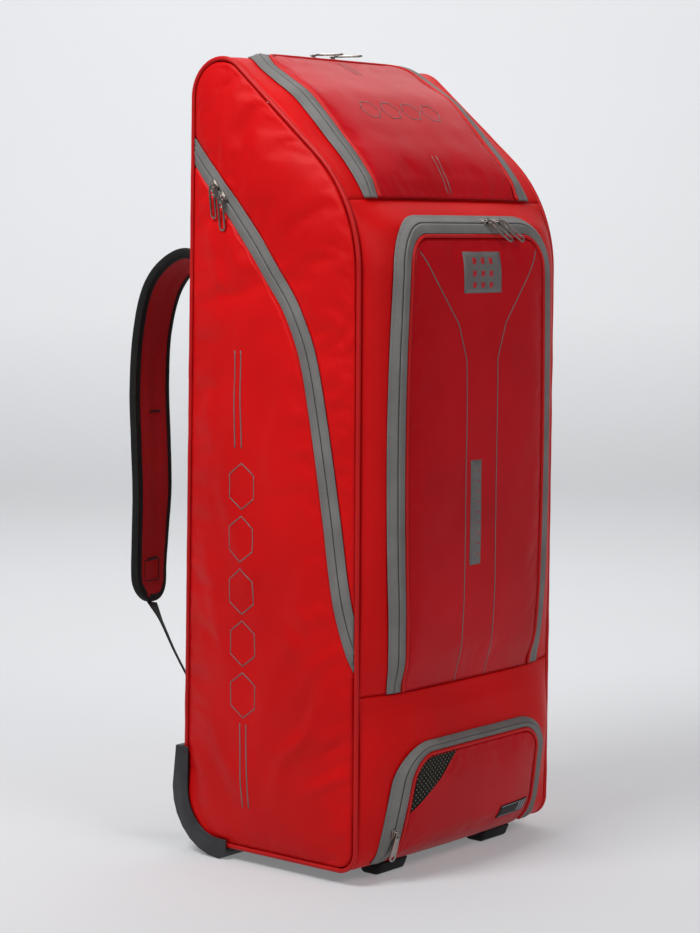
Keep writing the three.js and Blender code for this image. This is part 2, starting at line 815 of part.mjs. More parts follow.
const lowerPocket = pocketShape({
  bottom: frontAt(lowerBottomHeight),
  top: frontAt(lowerTopHeight),
  outerHalf: lowerHalfWidth,
  outerCorner: lowerCorner,
  rise: lowerRise,
  crown: lowerCrown,
  foot: lowerFoot,
  bow: lowerFlareAt,
});
const lidPocket = pocketShape({
  bottom: lidSeam + seamGap,
  top: outline.top + lidOverhang,
  outerHalf: lidHalfWidth,
  outerCorner: lidCorner,
  rise: lidRise,
  crown: lidCrown,
  foot: lidFoot,
  turnSteps: 8,
});

// Vent and label of the lower pocket lie on its panel.
function addLowerPocketTrim(lifts) {
  const shape = lowerPocket;
  const inset = -2 * (trimRadius + layerGap) - layerGap;
  const lift = (x, s) => lifts.panel(x, s) + patchGap + patchWall;
  const cornerSpots = pocketRim(shape).filter((spot) => spot.x < 0)
    .map((spot) => rimSpot(shape, spot, inset - 2));
  const foot = rimSpot(shape, { x: -shape.halfWidth, s: shape.top - ventReach, nx: -1, ns: 0 }, inset - 2);
  const head = { x: foot.x + ventReach * 1.05, s: cornerSpots[cornerSpots.length - 1].s };
  const outer = cornerSpots.filter((spot) => spot.s > foot.s + 4);
  outer.push({ x: head.x - 6, s: head.s });
  const sections = outer.map((spot, i) => {
    const t = (i + 0.3) / (outer.length - 0.4);
    const inner = { x: foot.x + t * (head.x - foot.x), s: foot.s + t * (head.s - foot.s) };
    const pair = [spot, inner];
    return sheetRing(
      pair.map((p) => shape.surface(p.x, p.s, lift(p.x, p.s))),
      pair.map((p) => shape.surface(p.x, p.s, lift(p.x, p.s) - patchWall)),
    );
  });
  addPiece('lower_pocket_vent', 'webbing', loftSolid(sections));

  const bottom = shape.bottom + labelFoot;
  const labelSections = [0, 0.5, 1].map((t) => {
    const s = bottom + t * labelHeight;
    const xs = [-0.5, 0, 0.5].map((share) => labelCentre + share * labelLength + labelSlant * (t - 0.5));
    return sheetRing(
      xs.map((x) => shape.surface(x, s, lift(x, s))),
      xs.map((x) => shape.surface(x, s, lift(x, s) - patchWall)),
    );
  });
  addPiece('lower_pocket_label', 'webbing', loftSolid(labelSections));
}

// Zip sliders and pulls

// Axes on a surface: across, along and outward, turned by an angle so that along points to the pull.
function surfaceFrame(surface, u, v, lift, angle) {
  const step = 2;
  const origin = surface(u, v, lift);
  const across = surface(u + step, v, lift).sub(surface(u - step, v, lift)).normalize();
  const along = surface(u, v + step, lift).sub(surface(u, v - step, lift)).normalize();
  const out = surface(u, v, lift + step).sub(origin);
  const normal = new THREE.Vector3().crossVectors(across, along).normalize();
  if (normal.dot(out) < 0) normal.negate();
  const radians = THREE.MathUtils.degToRad(angle);
  const forward = along.multiplyScalar(Math.cos(radians)).addScaledVector(across, Math.sin(radians));
  forward.addScaledVector(normal, -forward.dot(normal)).normalize();
  const side = new THREE.Vector3().crossVectors(forward, normal);
  return new THREE.Matrix4().makeBasis(side, forward, normal).setPosition(origin);
}

// The slider's body is tapered towards its top, with its length along y.
function sliderGeometry() {
  const levels = [
    { z: 0, grow: 1 },
    { z: sliderHeight * 0.45, grow: 1 },
    { z: sliderHeight, grow: 0.55 },
  ];
  const outlinePoints = [
    [-0.5, -0.3], [-0.3, -0.5], [0.3, -0.5], [0.5, -0.3], [0.42, 0.5], [-0.42, 0.5],
  ];
  return loftSolid(levels.map(({ z, grow }) => outlinePoints.map(([x, y]) => new THREE.Vector3(
    x * sliderWidth * grow,
    y * sliderLength * grow,
    z,
  ))));
}

// An oval wire frame that hangs from y = 0 along +y.
function framePull() {
  const half = pullWidth / 2;
  const wire = 2;
  const oval = (radius, near, far) => {
    const path = new THREE.Shape();
    path.absarc(0, near + radius, radius, Math.PI, 2 * Math.PI, false);
    path.absarc(0, far - radius, radius, 0, Math.PI, false);
    return path;
  };
  const shape = oval(half, 0, pullLength);
  shape.holes.push(oval(half - wire, wire, pullLength - wire));
  return new THREE.ExtrudeGeometry(shape, { depth: pullThickness, bevelEnabled: false, curveSegments: 4 });
}

// A flat tab with a round hole near its free end.
function tabPull() {
  const half = tabWidth / 2;
  const shape = new THREE.Shape();
  shape.moveTo(-half * 0.7, 0);
  shape.lineTo(half * 0.7, 0);
  shape.absarc(0, tabLength - half, half, 0, Math.PI, false);
  const hole = new THREE.Path();
  hole.absarc(0, tabLength - half, tabHoleRadius, 0, 2 * Math.PI, false);
  shape.holes.push(hole);
  return new THREE.ExtrudeGeometry(shape, { depth: pullThickness, bevelEnabled: false, curveSegments: 4 });
}

// The spot on its zip where a slider of the table stands.
function sliderSpot(row, pocket) {
  const mid = tapeWidth / 2;
  if (row.zip === 'side_zip') {
    const z = row.place * bagHeight;
    return { surface: sidePoint, u: zipCentre(z), v: z, lift: 0 };
  }
  if (row.zip === 'lower_pocket') {
    const v = frontAt(row.place * bagHeight);
    const u = -(pocket.shape.halfWidth + mid) * pocket.shape.bow(v);
    return { surface: stripPoint, u, v, lift: pocket.middle(v) };
  }
  const v = pocket.shape.top + mid;
  return { surface: stripPoint, u: row.place * pocket.shape.outerHalf, v, lift: pocket.middle(v) };
}

function addSliders(pockets) {
  const numbers = {};
  sliderRows.forEach((row) => {
    numbers[row.zip] = (numbers[row.zip] ?? 0) + 1;
    const spot = sliderSpot(row, pockets[row.zip]);
    const lower = row.zip === 'lower_pocket';
    const suffix = lower ? '' : `_${numbers[row.zip]}`;
    const seat = spot.lift + sliderGap - row.sink;
    const body = sliderGeometry();
    body.applyMatrix4(surfaceFrame(spot.surface, spot.u, spot.v, seat, row.turn));
    addPiece(`${row.zip}_slider${suffix}`, 'metal', body);
    const pull = lower ? tabPull() : framePull();
    pull.rotateX(-THREE.MathUtils.degToRad(row.drop));
    pull.translate(0, pullStart, sliderHeight + 2 * layerGap);
    pull.applyMatrix4(surfaceFrame(spot.surface, spot.u, spot.v, seat, row.hang));
    addPiece(`${row.zip}_pull${suffix}`, 'metal', pull);
  });
}

// Straps, yoke and handle on the back

const backLine = (z) => outline.at(backAt(z));

function strapRoute(rows, top, bottom) {
  return rows.map((row) => {
    const z = top - row.up * (top - bottom);
    return new THREE.Vector3(0, backLine(z).y + backFill + row.out * strapReach, z);
  });
}

// The surface of a band that follows a curve in the side view; x across, s along, lift outwards.
function bandSurface(points, rows, centreX) {
  const curve = new THREE.CatmullRomCurve3(points, false, 'centripetal');
  const length = curve.getLength();
  const spots = rows.map((row, i) => ({ at: i / (rows.length - 1), twist: row.twist }));
  const surface = (x, s, lift) => {
    const t = THREE.MathUtils.clamp(s / length, 0, 1);
    const centre = curve.getPointAt(t);
    const along = curve.getTangentAt(t);
    const over = s > length ? s - length : Math.min(0, s);
    const outward = new THREE.Vector3(1, 0, 0).cross(along);
    const twist = THREE.MathUtils.degToRad(smoothValue(spots, 'at', 'twist', t));
    const side = new THREE.Vector3(1, 0, 0).multiplyScalar(Math.cos(twist))
      .addScaledVector(outward, Math.sin(twist));
    const up = outward.multiplyScalar(Math.cos(twist)).addScaledVector(
      new THREE.Vector3(1, 0, 0),
      -Math.sin(twist),
    );
    return centre.addScaledVector(along, over).addScaledVector(side, x).addScaledVector(up, lift)
      .add(new THREE.Vector3(centreX, 0, 0));
  };
  return { surface, length };
}

// The strap leaves the yoke's face at a right angle before it follows its rows.
function strapPoints() {
  const height = strapTopHeight - strapWall;
  const nearest = (strapSpacing - strapWidth) / 2;
  const face = stripPoint(nearest, backAt(height - bindingDepth), layerGap + yokeWall).y;
  const root = [layerGap, strapStub].map((out) => new THREE.Vector3(0, face + out, height));
  return [...root, ...strapRoute(strapRows, strapTopHeight, strapEndHeight)];
}

function addStraps() {
  const rows = [{ twist: 0 }, { twist: 0 }, ...strapRows];
  const { surface, length } = bandSurface(strapPoints(), rows, -strapSpacing / 2);
  const half = strapWidth / 2;
  const count = 12;
  const stations = Array.from({ length: count }, (_, i) => (i * length) / count);
  const shape = {
    surface, bottom: 0, top: length, halfWidth: half, corner: half - 2, stations, turnSteps: 3,
  };
  const padOffset = -bindingWall - 2 * layerGap;
  const shares = [-1, 0, 1];
  const thick = (x) => strapWall * (0.75 + 0.25 * (1 - (x / half) ** 2));
  const padLift = (x) => thick(x) / 2;
  const pad = rimPadded(shape, padOffset, padLift, thick, shares);
  const meshLift = (x) => padLift(x) - thick(x) - layerGap;
  const mesh = rimPanel(shape, padOffset, meshLift, meshWall, shares);
  const edges = [-bindingWall, 0].map((offset) => ({ offset, lift: () => bindingDepth / 2 - meshWall / 2 }));
  const binding = rimBand(shape, edges, bindingDepth);
  const tail = webbingTail();
  [['strap_pad', 'cloth', pad], ['strap_mesh', 'mesh', mesh], ['strap_binding', 'webbing', binding],
    ['strap_webbing', 'webbing', tail]].forEach(([name, finish, geometry]) => {
    addPiece(`${name}_left`, finish, geometry);
    addPiece(`${name}_right`, finish, mirrored(geometry));
  });
}

// A pad whose thickness changes across its width.
function rimPadded(shape, offset, lift, thick, shares) {
  const rows = pocketRim(shape).filter((spot) => spot.x > 0).reverse();
  return loftSolid(rows.map((spot) => {
    const at = rimSpot(shape, spot, offset);
    const xs = shares.map((share) => at.x * share);
    return sheetRing(
      xs.map((x) => shape.surface(x, at.s, lift(x))),
      xs.map((x) => shape.surface(x, at.s, lift(x) - thick(x))),
    );
  }));
}

function webbingTail() {
  const strap = strapPoints();
  const tip = strap[strap.length - 1];
  const past = tip.clone().sub(strap[strap.length - 2]).setLength(layerGap + webbingWall / 2);
  const points = [tip.clone().add(past), ...strapRoute(webbingRows, strapEndHeight, webbingAnchorHeight)];
  const seat = backAt(webbingAnchorHeight);
  const reach = layerGap + webbingWall / 2;
  const centreX = -strapSpacing / 2;
  const seated = [seat, seat + webbingSeat / 4, seat + webbingSeat].map((s) => {
    const spot = stripPoint(centreX, s, reach);
    return new THREE.Vector3(0, spot.y, spot.z);
  });
  const rows = [{ twist: 30 }, ...webbingRows, { twist: 0 }, { twist: 0 }, { twist: 0 }];
  const { surface, length } = bandSurface([...points, ...seated], rows, centreX);
  const half = webbingWidth / 2;
  const steps = 14;
  const sections = Array.from({ length: steps + 1 }, (_, i) => {
    const s = (length * i) / steps;
    return sheetRing(
      [surface(-half, s, webbingWall / 2), surface(half, s, webbingWall / 2)],
      [surface(-half, s, -webbingWall / 2), surface(half, s, -webbingWall / 2)],
    );
  });
  return loftSolid(sections);
}

// A band across the back whose lift and wall change over its width.
function backBand(height, width, wall, lift, shares) {
  const s = backAt(height);
  const sections = shares.map((share) => {
    const x = share * (stripHalf - rimGap);
    const rows = [-0.5, 0.5].map((side) => s + side * width);
    return sheetRing(
      rows.map((at) => stripPoint(x, at, lift(share) + wall(share))),
      rows.map((at) => stripPoint(x, at, lift(share))),
    );
  });
  return loftSolid(sections);
}

function addBackBands() {
  const shares = [-1, -0.97, -0.9, -0.75, -0.5, -0.2, 0.2, 0.5, 0.75, 0.9, 0.97, 1];
  const yokeThick = (share) => {
    const grown = Math.min(1, (1 - Math.abs(share)) * 12);
    return THREE.MathUtils.lerp(yokeEndWall, yokeWall, grown);
  };
  addPiece('strap_yoke', 'webbing', backBand(yokeHeight, yokeWidth, yokeThick, () => layerGap, shares));
  const arch = (share) => layerGap + handleReach * (1 - Math.abs(share) ** 3) ** 0.6;
  addPiece('haul_handle', 'webbing', backBand(handleHeight, handleWidth, () => handleWall, arch, shares));
}

// Guard, wells, wheels and feet

const wheelX = bodyWidth / 2 - wheelInset;
const wheelCentre = (side) => new THREE.Vector3(side * wheelX, wheelBack, wheelRadius);
const wellRadius = wheelRadius + wheelRoom;
const wellWidth = wheelWidth + 2 * wheelRoom;

// The cloth's outline as a solid block across the bag, grown by an amount.
function outlineBlock(grow, width) {
  const sections = [-0.5, 0.5].map((side) => stationsBetween(0, outline.length).slice(0, -1).map((s) => {
    const spot = outline.at(s);
    return new THREE.Vector3(side * width, spot.y + spot.ny * grow, spot.z + spot.nz * grow);
  }));
  const [near, far] = sections;
  const contour = near.map((point) => new THREE.Vector2(point.y, point.z));
  const caps = THREE.ShapeUtils.triangulateShape(contour, []);
  const faces = [];
  const count = near.length;
  for (let i = 0; i < count; i += 1) {
    const k = (i + 1) % count;
    faces.push(i, count + i, count + k, i, count + k, k);
  }
  const flat = Math.sign(THREE.ShapeUtils.area(contour));
  caps.forEach(([a, b, c]) => {
    if (flat < 0) faces.push(a, c, b, count + a, count + b, count + c);
    else faces.push(a, b, c, count + a, count + c, count + b);
  });
  const geometry = new THREE.BufferGeometry();
  const points = [...near, ...far].flatMap((point) => point.toArray());
  geometry.setAttribute('position', new THREE.Float32BufferAttribute(points, 3));
  geometry.setIndex(faces);
  return facingOut(geometry);
}

function addBase() {
  const end = outline.length + toeStart - seamGap;
  const xs = [-stripHalf, 0, stripHalf];
  const panel = loftSolid(stationsBetween(guardSeam + seamGap / 2, end, baseStep).map((s) => sheetRing(
    xs.map((x) => stripPoint(x, s % outline.length, 0)),
    xs.map((x) => stripPoint(x, s % outline.length, -clothWall)),
  )));
  let base = toManifold(panel);
  [-1, 1].forEach((side) => {
    const room = 2 * (wellWall + layerGap);
    const hole = crossCylinder(wellRadius + room / 2, wellWidth + room, wheelCentre(side));
    base = base.subtract(toManifold(hole));
  });
  addPiece('base_panel', 'webbing', fromManifold(base));
}

// The guard wraps the heel: a thick band behind and below it, with a lip over each side.
function guardSolid() {
  const top = backAt(guardTopHeight);
  const front = solveRising(heelEnd, outline.length, guardFront, (s) => outline.at(s).y);
  const lipInner = bodyWidth / 2 + guardLipStand;
  const lipOuter = lipInner + guardLipWall;
  const inner = pipingRadius - pipingInset + layerGap;
  const sections = stationsBetween(top, front, baseStep).map((s) => {
    const turned = THREE.MathUtils.smoothstep(s, top, heelStart);
    const ended = THREE.MathUtils.smoothstep(s, heelEnd, front);
    const grown = THREE.MathUtils.lerp(guardBackWall, guardHeelWall, turned);
    const thick = THREE.MathUtils.lerp(grown, guardToeWall, ended);
    const ring = [
      [-lipOuter, thick], [lipOuter, thick], [lipOuter, -guardLip], [lipInner, -guardLip],
      [lipInner, inner], [-lipInner, inner], [-lipInner, -guardLip], [-lipOuter, -guardLip],
    ];
    const spot = outline.at(s);
    return ring.map(([x, out]) => new THREE.Vector3(x, spot.y + spot.ny * out, spot.z + spot.nz * out));
  });
  return channelSolid(sections);
}

// A loft through channel sections of eight points: web between two flanges.
function channelSolid(sections) {
  const body = loftSolid(sections);
  const index = [...body.getIndex().array];
  const capCount = 2 * 3 * 2 * (sections[0].length / 2 - 1);
  const faces = index.slice(0, index.length - capCount);
  const last = (sections.length - 1) * sections[0].length;
  const quads = [[0, 1, 4, 5], [1, 2, 3, 4], [7, 0, 5, 6]];
  const outward = faces[1] === 1;
  quads.forEach(([a, b, c, d]) => {
    if (outward) {
      faces.push(b, a, d, b, d, c, last + a, last + b, last + c, last + a, last + c, last + d);
    } else {
      faces.push(a, b, c, a, c, d, last + b, last + a, last + d, last + b, last + d, last + c);
    }
  });
  body.setIndex(faces);
  return facingOut(body);
}

function addGuard() {
  let guard = toManifold(guardSolid());
  [-1, 1].forEach((side) => {
    const slot = crossCylinder(wellRadius, wellWidth, wheelCentre(side));
    guard = guard.subtract(toManifold(slot));
  });
  addPiece('heel_guard', 'moulded', fromManifold(guard));
}

function addWheel(name, side) {
  const centre = wheelCentre(side);
  const inside = toManifold(outlineBlock(0.4, bodyWidth));
  const shell = toManifold(crossCylinder(wellRadius + wellWall, wellWidth + 2 * wellWall, centre))
    .subtract(toManifold(crossCylinder(wellRadius, wellWidth, centre)))
    .subtract(toManifold(crossCylinder(axleRadius + axleGap, bodyWidth, centre, 12)))
    .intersect(inside);
  addPiece(`wheel_well_${name}`, 'moulded', fromManifold(shell));

  const axleLength = wellWidth + 2 * (wellWall + axleEnd);
  addPiece(`axle_${name}`, 'metal', crossCylinder(axleRadius, axleLength, centre, 12));

  const half = wheelWidth / 2;
  const rim = wheelRadius - tyreWall;
  const tyreProfile = [
    [rim, -half * 0.8], [wheelRadius - 4, -half], [wheelRadius, -half * 0.6],
    [wheelRadius, half * 0.6], [wheelRadius - 4, half], [rim, half * 0.8], [rim, -half * 0.8],
  ];
  const hubProfile = [
    [axleRadius + axleGap, -half * 0.9], [axleRadius * 2, -half * 0.9], [rim - layerGap, -half * 0.6],
    [rim - layerGap, half * 0.6], [axleRadius * 2, half * 0.9], [axleRadius + axleGap, half * 0.9],
    [axleRadius + axleGap, -half * 0.9],
  ];
  [['tyre', 'rubber', tyreProfile], ['hub', 'hub', hubProfile]].forEach(([part, finish, profile]) => {
    const geometry = new THREE.LatheGeometry(profile.map(([r, y]) => new THREE.Vector2(r, y)), 20);
    geometry.rotateZ(Math.PI / 2);
    geometry.translate(centre.x, centre.y, centre.z);
    addPiece(`wheel_${part}_${name}`, finish, closedLathe(geometry));
  });
}

// A lathe's first and last profile point and its first and last turn are the same; merge them.
function closedLathe(geometry) {
  const bare = geometry.clone();
  bare.deleteAttribute('normal');
  bare.deleteAttribute('uv');
  return facingOut(mergeVertices(bare, 1e-3));
}

function addFeet() {
  const toeEnd = outline.pieces[2].from;
  const from = solveRising(0, toeEnd, footBack, (s) => outline.at(s).y);
  const to = solveRising(0, toeEnd, footFront, (s) => outline.at(s).y);
  const inner = (footSpacing - footLength) / 2;
  const stations = stationsBetween(from, to, baseStep);
  const upper = stations.map((s) => {
    const spot = stripPoint(inner, s, 2 * layerGap);
    return [spot.y, spot.z];
  });
  const lower = upper.map((_, i) => [
    THREE.MathUtils.lerp(footBack - footSlope, footFront + footSlope, i / (upper.length - 1)),
    0,
  ]);
  [['left', -1], ['right', 1]].forEach(([name, side]) => {
    const x = (side * footSpacing) / 2;
    const sections = [-0.5, 0.5].map((share) => sheetRing(
      upper.map(([y, z]) => new THREE.Vector3(x + share * footLength, y, z)),
      lower.map(([y, z]) => new THREE.Vector3(x + share * footLength, y, z)),
    ));
    addPiece(`front_foot_${name}`, 'rubber', loftSolid(sections));
  });
}

addBody();
addSides();
addBase();
const pockets = {
  tall_pocket: addPocket('tall_pocket', tallPocket),
  lower_pocket: addPocket('lower_pocket', lowerPocket),
  lid: addPocket('lid', lidPocket),
};
addLowerPocketTrim(pockets.lower_pocket.lifts);
addSliders(pockets);
addBackBands();
addStraps();
addGuard();
addWheel('left', -1);
addWheel('right', 1);
addFeet();

// Centre the whole bag over the origin.
const box = new THREE.Box3().setFromObject(bag);
bag.position.set(-(box.min.x + box.max.x) / 2, -(box.min.y + box.max.y) / 2, -box.min.z);

export default bag;
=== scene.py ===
import math
from functools import lru_cache

import bmesh
import bpy
from mathutils import Matrix, Vector, noise
from mathutils.bvhtree import BVHTree


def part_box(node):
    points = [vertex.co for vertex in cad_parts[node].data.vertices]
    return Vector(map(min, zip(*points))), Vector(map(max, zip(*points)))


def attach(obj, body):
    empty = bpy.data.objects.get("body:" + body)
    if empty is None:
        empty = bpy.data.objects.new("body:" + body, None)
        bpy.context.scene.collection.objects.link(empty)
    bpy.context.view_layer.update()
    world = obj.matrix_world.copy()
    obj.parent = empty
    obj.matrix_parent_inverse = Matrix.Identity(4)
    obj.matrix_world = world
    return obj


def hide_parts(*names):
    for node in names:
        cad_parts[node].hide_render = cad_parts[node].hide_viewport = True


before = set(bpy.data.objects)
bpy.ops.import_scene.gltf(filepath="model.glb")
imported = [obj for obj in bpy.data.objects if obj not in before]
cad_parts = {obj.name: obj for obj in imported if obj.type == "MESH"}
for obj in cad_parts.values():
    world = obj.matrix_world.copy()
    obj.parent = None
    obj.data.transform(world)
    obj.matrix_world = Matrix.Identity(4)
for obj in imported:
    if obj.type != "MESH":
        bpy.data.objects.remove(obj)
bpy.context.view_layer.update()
print("frame loaded")

# The bag's outline in the side view, in mm, as the solids have it
bag = {
    "height": 955, "width": 374, "depth": 272, "floorGap": 15, "slopeAngle": 40.5,
    "frontLean": 7, "backLean": 23, "toeRadius": 28, "shoulderRadius": 178,
    "crownRadius": 46, "heelRadius": 62, "bottomSeam": 0.2325, "lidSeam": 0.825,
    "guardSeam": 118, "guardTop": 130, "frontFill": 20, "backFill": 6, "sideFill": 12,
    "clothWall": 2, "seamGap": 0.5, "rimGap": 0.8, "layerGap": 0.4,
    "pipingRadius": 2.8, "pipingInset": 2, "wheelX": 150, "wheelBack": 0.379,
}
wheelHub = [sum(pair) / 2 for pair in zip(*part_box("wheel_hub_left"))]
shiftX = wheelHub[0] + bag["wheelX"] / 1000  # the solids are centred on their box, the sizes on the body
shiftY = wheelHub[1] - bag["wheelBack"] * bag["depth"] / 1000
halfDepth = bag["depth"] / 2

# how full the front is, as share of the run between two seams, fill, squareness
swellRows = {
    "lower": [(0, 0, 2.5), (0.12, 0.25, 2.5), (0.27, 0.68, 5), (0.445, 1, 7), (0.665, 1.3, 8),
              (0.86, 1.05, 6)],
    "upper": [(0, 0.75, 4), (0.06, 0.9, 6), (0.185, 1, 9), (0.45, 1, 10), (0.737, 1.05, 10), (0.85, 1.1, 9),
              (0.925, 0.95, 7), (0.968, 0.5, 5)],
    "slope": [(0, 0.15, 4), (0.12, 0.12, 4), (0.3, 0.3, 5), (0.45, 0.5, 7), (0.6, 0.62, 8), (0.75, 0.35, 6),
              (0.87, 0.08, 5), (1, 0, 4)],
}
# the side zip's centre: share of the height, share of half the depth
zipRows = [(0.235, -1.17), (0.257, -1.074), (0.287, -0.956), (0.347, -0.831), (0.444, -0.735), (0.56, -0.61),
           (0.637, -0.5), (0.693, -0.331), (0.743, -0.074), (0.803, 0.272), (0.845, 0.559), (0.887, 0.868),
           (0.922, 1.14)]
# dents of the sides: height and depth as shares, reach of each, share of the fill
dentRows = [(0.12, 0.6, 0.05, 0.25, 0.22), (0.3, -0.3, 0.1, 0.3, 0.15), (0.62, 0.45, 0.08, 0.3, 0.2),
            (0.8, -0.05, 0.05, 0.3, 0.18)]


def toFrame(x, y, z):
    return Vector((x / 1000 + shiftX, y / 1000 + shiftY, z / 1000))


def mix(a, b, t):
    return a + (b - a) * t


def clamp(value, low=0.0, high=1.0):
    return max(low, min(high, value))


def smooth(value, low, high):
    t = clamp((value - low) / (high - low))
    return t * t * (3 - 2 * t)


def rowValue(rows, at, column=1):  # smooth value between rows, with no overshoot
    last = len(rows) - 1
    if at <= rows[0][0]:
        return rows[0][column]
    if at >= rows[last][0]:
        return rows[last][column]
    i = 0
    while rows[i + 1][0] < at:
        i += 1

    def slope(k):
        return (rows[k + 1][column] - rows[k][column]) / (rows[k + 1][0] - rows[k][0])

    def tangent(k):
        if k == 0:
            return slope(0)
        if k == last:
            return slope(last - 1)
        before, after = slope(k - 1), slope(k)
        return 0 if before * after <= 0 else 2 * before * after / (before + after)

    span = rows[i + 1][0] - rows[i][0]
    t = (at - rows[i][0]) / span
    rise = t * t * (3 - 2 * t)
    bend = span * t * (1 - t) * ((1 - t) * tangent(i) - t * tangent(i + 1))
    return rows[i][column] * (1 - rise) + rows[i + 1][column] * rise + bend


def bagCorners():
    rise = bag["height"] - bag["floorGap"]
    slope = math.radians(bag["slopeAngle"])
    toe = (-halfDepth + bag["frontLean"] / 2, bag["floorGap"], bag["toeRadius"])
    heel = (halfDepth + bag["frontLean"], bag["floorGap"], bag["heelRadius"])
    frontSlope, backSlope = -bag["frontLean"] / rise, -bag["backLean"] / rise
    radius = bag["crownRadius"]
    centreZ = bag["height"] - radius
    centreY = heel[0] + backSlope * (centreZ - bag["floorGap"]) - radius * math.hypot(1, backSlope)
    touchY, touchZ = centreY - radius * math.sin(slope), centreZ + radius * math.cos(slope)
    climb = math.tan(slope)
    shoulderY = (toe[0] + frontSlope * (touchZ - climb * touchY - toe[1])) / (1 - frontSlope * climb)
    shoulder = (shoulderY, touchZ + climb * (shoulderY - touchY), bag["shoulderRadius"])
    crownZ = (touchZ + climb * (heel[0] - backSlope * heel[1] - touchY)) / (1 - climb * backSlope)
    crown = (heel[0] + backSlope * (crownZ - heel[1]), crownZ, radius)
    return [toe, shoulder, crown, heel]


def roundedOutline(corners):
    arcs = []
    for i, (y, z, radius) in enumerate(corners):
        here = Vector((y, z))
        arriving = (here - Vector(corners[i - 1][:2])).normalized()
        leaving = (Vector(corners[(i + 1) % 4][:2]) - here).normalized()
        turn = math.acos(arriving.dot(leaving))
        reach = radius * math.tan(turn / 2)
        start = here - arriving * reach
        centre = start + Vector((arriving.y, -arriving.x)) * radius
        first = math.atan2(arriving.x, -arriving.y)
        arcs.append((start, here + leaving * reach, centre, radius, first, turn))
    middle = Vector(((arcs[0][0].x + arcs[3][1].x) / 2, arcs[0][0].y))
    pieces, length, here = [], 0, middle
    for start, end, centre, radius, first, turn in arcs:
        pieces.append((length, (start - here).length, here, start))
        length += (start - here).length
        pieces.append((length, radius * turn, centre, radius, first, turn))
        length += radius * turn
        here = end
    pieces.append((length, (middle - here).length, here, middle))
    length += (middle - here).length
    top = pieces[5][0] + arcs[2][3] * (arcs[2][4] - math.pi / 2)
    return pieces, length, top


outline, outlineLength, outlineTop = roundedOutline(bagCorners())


@lru_cache(maxsize=None)
def outlineAt(s):  # y, z and the outward normal
    piece = next((p for p in outline if s <= p[0] + p[1]), outline[-1])
    t = (s - piece[0]) / piece[1]
    if len(piece) == 6:
        angle = piece[4] - piece[5] * t
        ny, nz = math.cos(angle), math.sin(angle)
        return piece[2].x + ny * piece[3], piece[2].y + nz * piece[3], ny, nz
    step = (piece[3] - piece[2]) / piece[1]
    spot = piece[2] + step * piece[1] * t
    return spot.x, spot.y, -step.y, step.x


def solve(low, high, wanted, value):
    rising = value(high) > value(low)
    for _ in range(50):
        middle = (low + high) / 2
        if (value(middle) < wanted) == rising:
            low = middle
        else:
            high = middle
    return (low + high) / 2


toeStart, heelStart = outline[1][0], outline[7][0]
heelEnd = heelStart + outline[7][1]


def frontAt(height):
    return solve(toeStart, outlineTop, height, lambda s: outlineAt(s)[1])


def backAt(height):
    return solve(outlineTop, heelStart, height, lambda s: outlineAt(s)[1])


bottomSeam = frontAt(bag["bottomSeam"] * bag["height"])
lidSeam = frontAt(bag["lidSeam"] * bag["height"])
guardSeam, guardTop = backAt(bag["guardSeam"]), backAt(bag["guardTop"])
stripHalf = bag["width"] / 2 - bag["pipingInset"] - bag["pipingRadius"] - bag["layerGap"]
zones = {"lower": (toeStart, bottomSeam), "upper": (bottomSeam, lidSeam), "slope": (lidSeam, outlineTop)}
swell = [(mix(*zones[zone], along), fill, square)
         for zone, rows in swellRows.items() for along, fill, square in rows]


@lru_cache(maxsize=None)
def swellAt(s):
    return rowValue(swell, s), rowValue(swell, s, 2)


def stripRise(x, s):
    share = min(1, abs(x) / stripHalf)
    if s <= outlineTop:
        fill, square = swellAt(s)
        return bag["frontFill"] * fill * (1 - share ** square)
    t = (s - outlineTop) / (guardTop - outlineTop)
    return 0 if t >= 1 else bag["backFill"] * 4 * t * (1 - t) * (1 - share ** 4)


def stripPoint(x, s, lift=0.0):  # over the strip of cloth round the outline, in mm
    y, z, ny, nz = outlineAt(s)
    out = stripRise(x, s) + lift
    return Vector((x, y + ny * out, z + nz * out))


rimInset = bag["pipingInset"] + bag["pipingRadius"] + bag["rimGap"]
sideBottom, sideTop = bag["floorGap"] + rimInset, bag["height"] - rimInset


def rimEdge(z, low, high):
    s = solve(low, high, z, lambda at: outlineAt(at)[1] - outlineAt(at)[3] * rimInset)
    y, _, ny, _ = outlineAt(s)
    return y - ny * rimInset


@lru_cache(maxsize=None)
def frontRim(z):
    return rimEdge(z, toeStart, outlineTop)


@lru_cache(maxsize=None)
def backRim(z):
    return rimEdge(z, outlineTop, heelEnd)


def sideSwell(y, z):
    front, back = frontRim(z), backRim(z)
    across = min(1, abs(2 * (y - front) / (back - front) - 1))
    up = min(1, abs(2 * (z - sideBottom) / (sideTop - sideBottom) - 1))
    dents = sum(row[4] * math.exp(-((z / bag["height"] - row[0]) / row[2]) ** 2
                                  - ((y / halfDepth - row[1]) / row[3]) ** 2) for row in dentRows)
    return bag["sideFill"] * (1 - across ** 2.6) * (1 - up ** 6) * (1 - dents)


def sidePoint(y, z, lift=0.0):  # over the left side, in mm
    return Vector((-(bag["width"] / 2 + sideSwell(y, z) + lift), y, z))


@lru_cache(maxsize=None)
def zipCentre(z):
    return halfDepth * rowValue(zipRows, z / bag["height"])


@lru_cache(maxsize=None)
def zipStretch(z):
    return math.hypot(1, (zipCentre(z + 1) - zipCentre(z - 1)) / 2)


# Soft relief of cloth: long undulations, and short puckers beside a seam
folds = {"long": 1.5, "longSize": 105, "short": 0.55, "shortSize": 34, "pucker": 0.35, "puckerSize": 7,
         "puckerReach": 16}


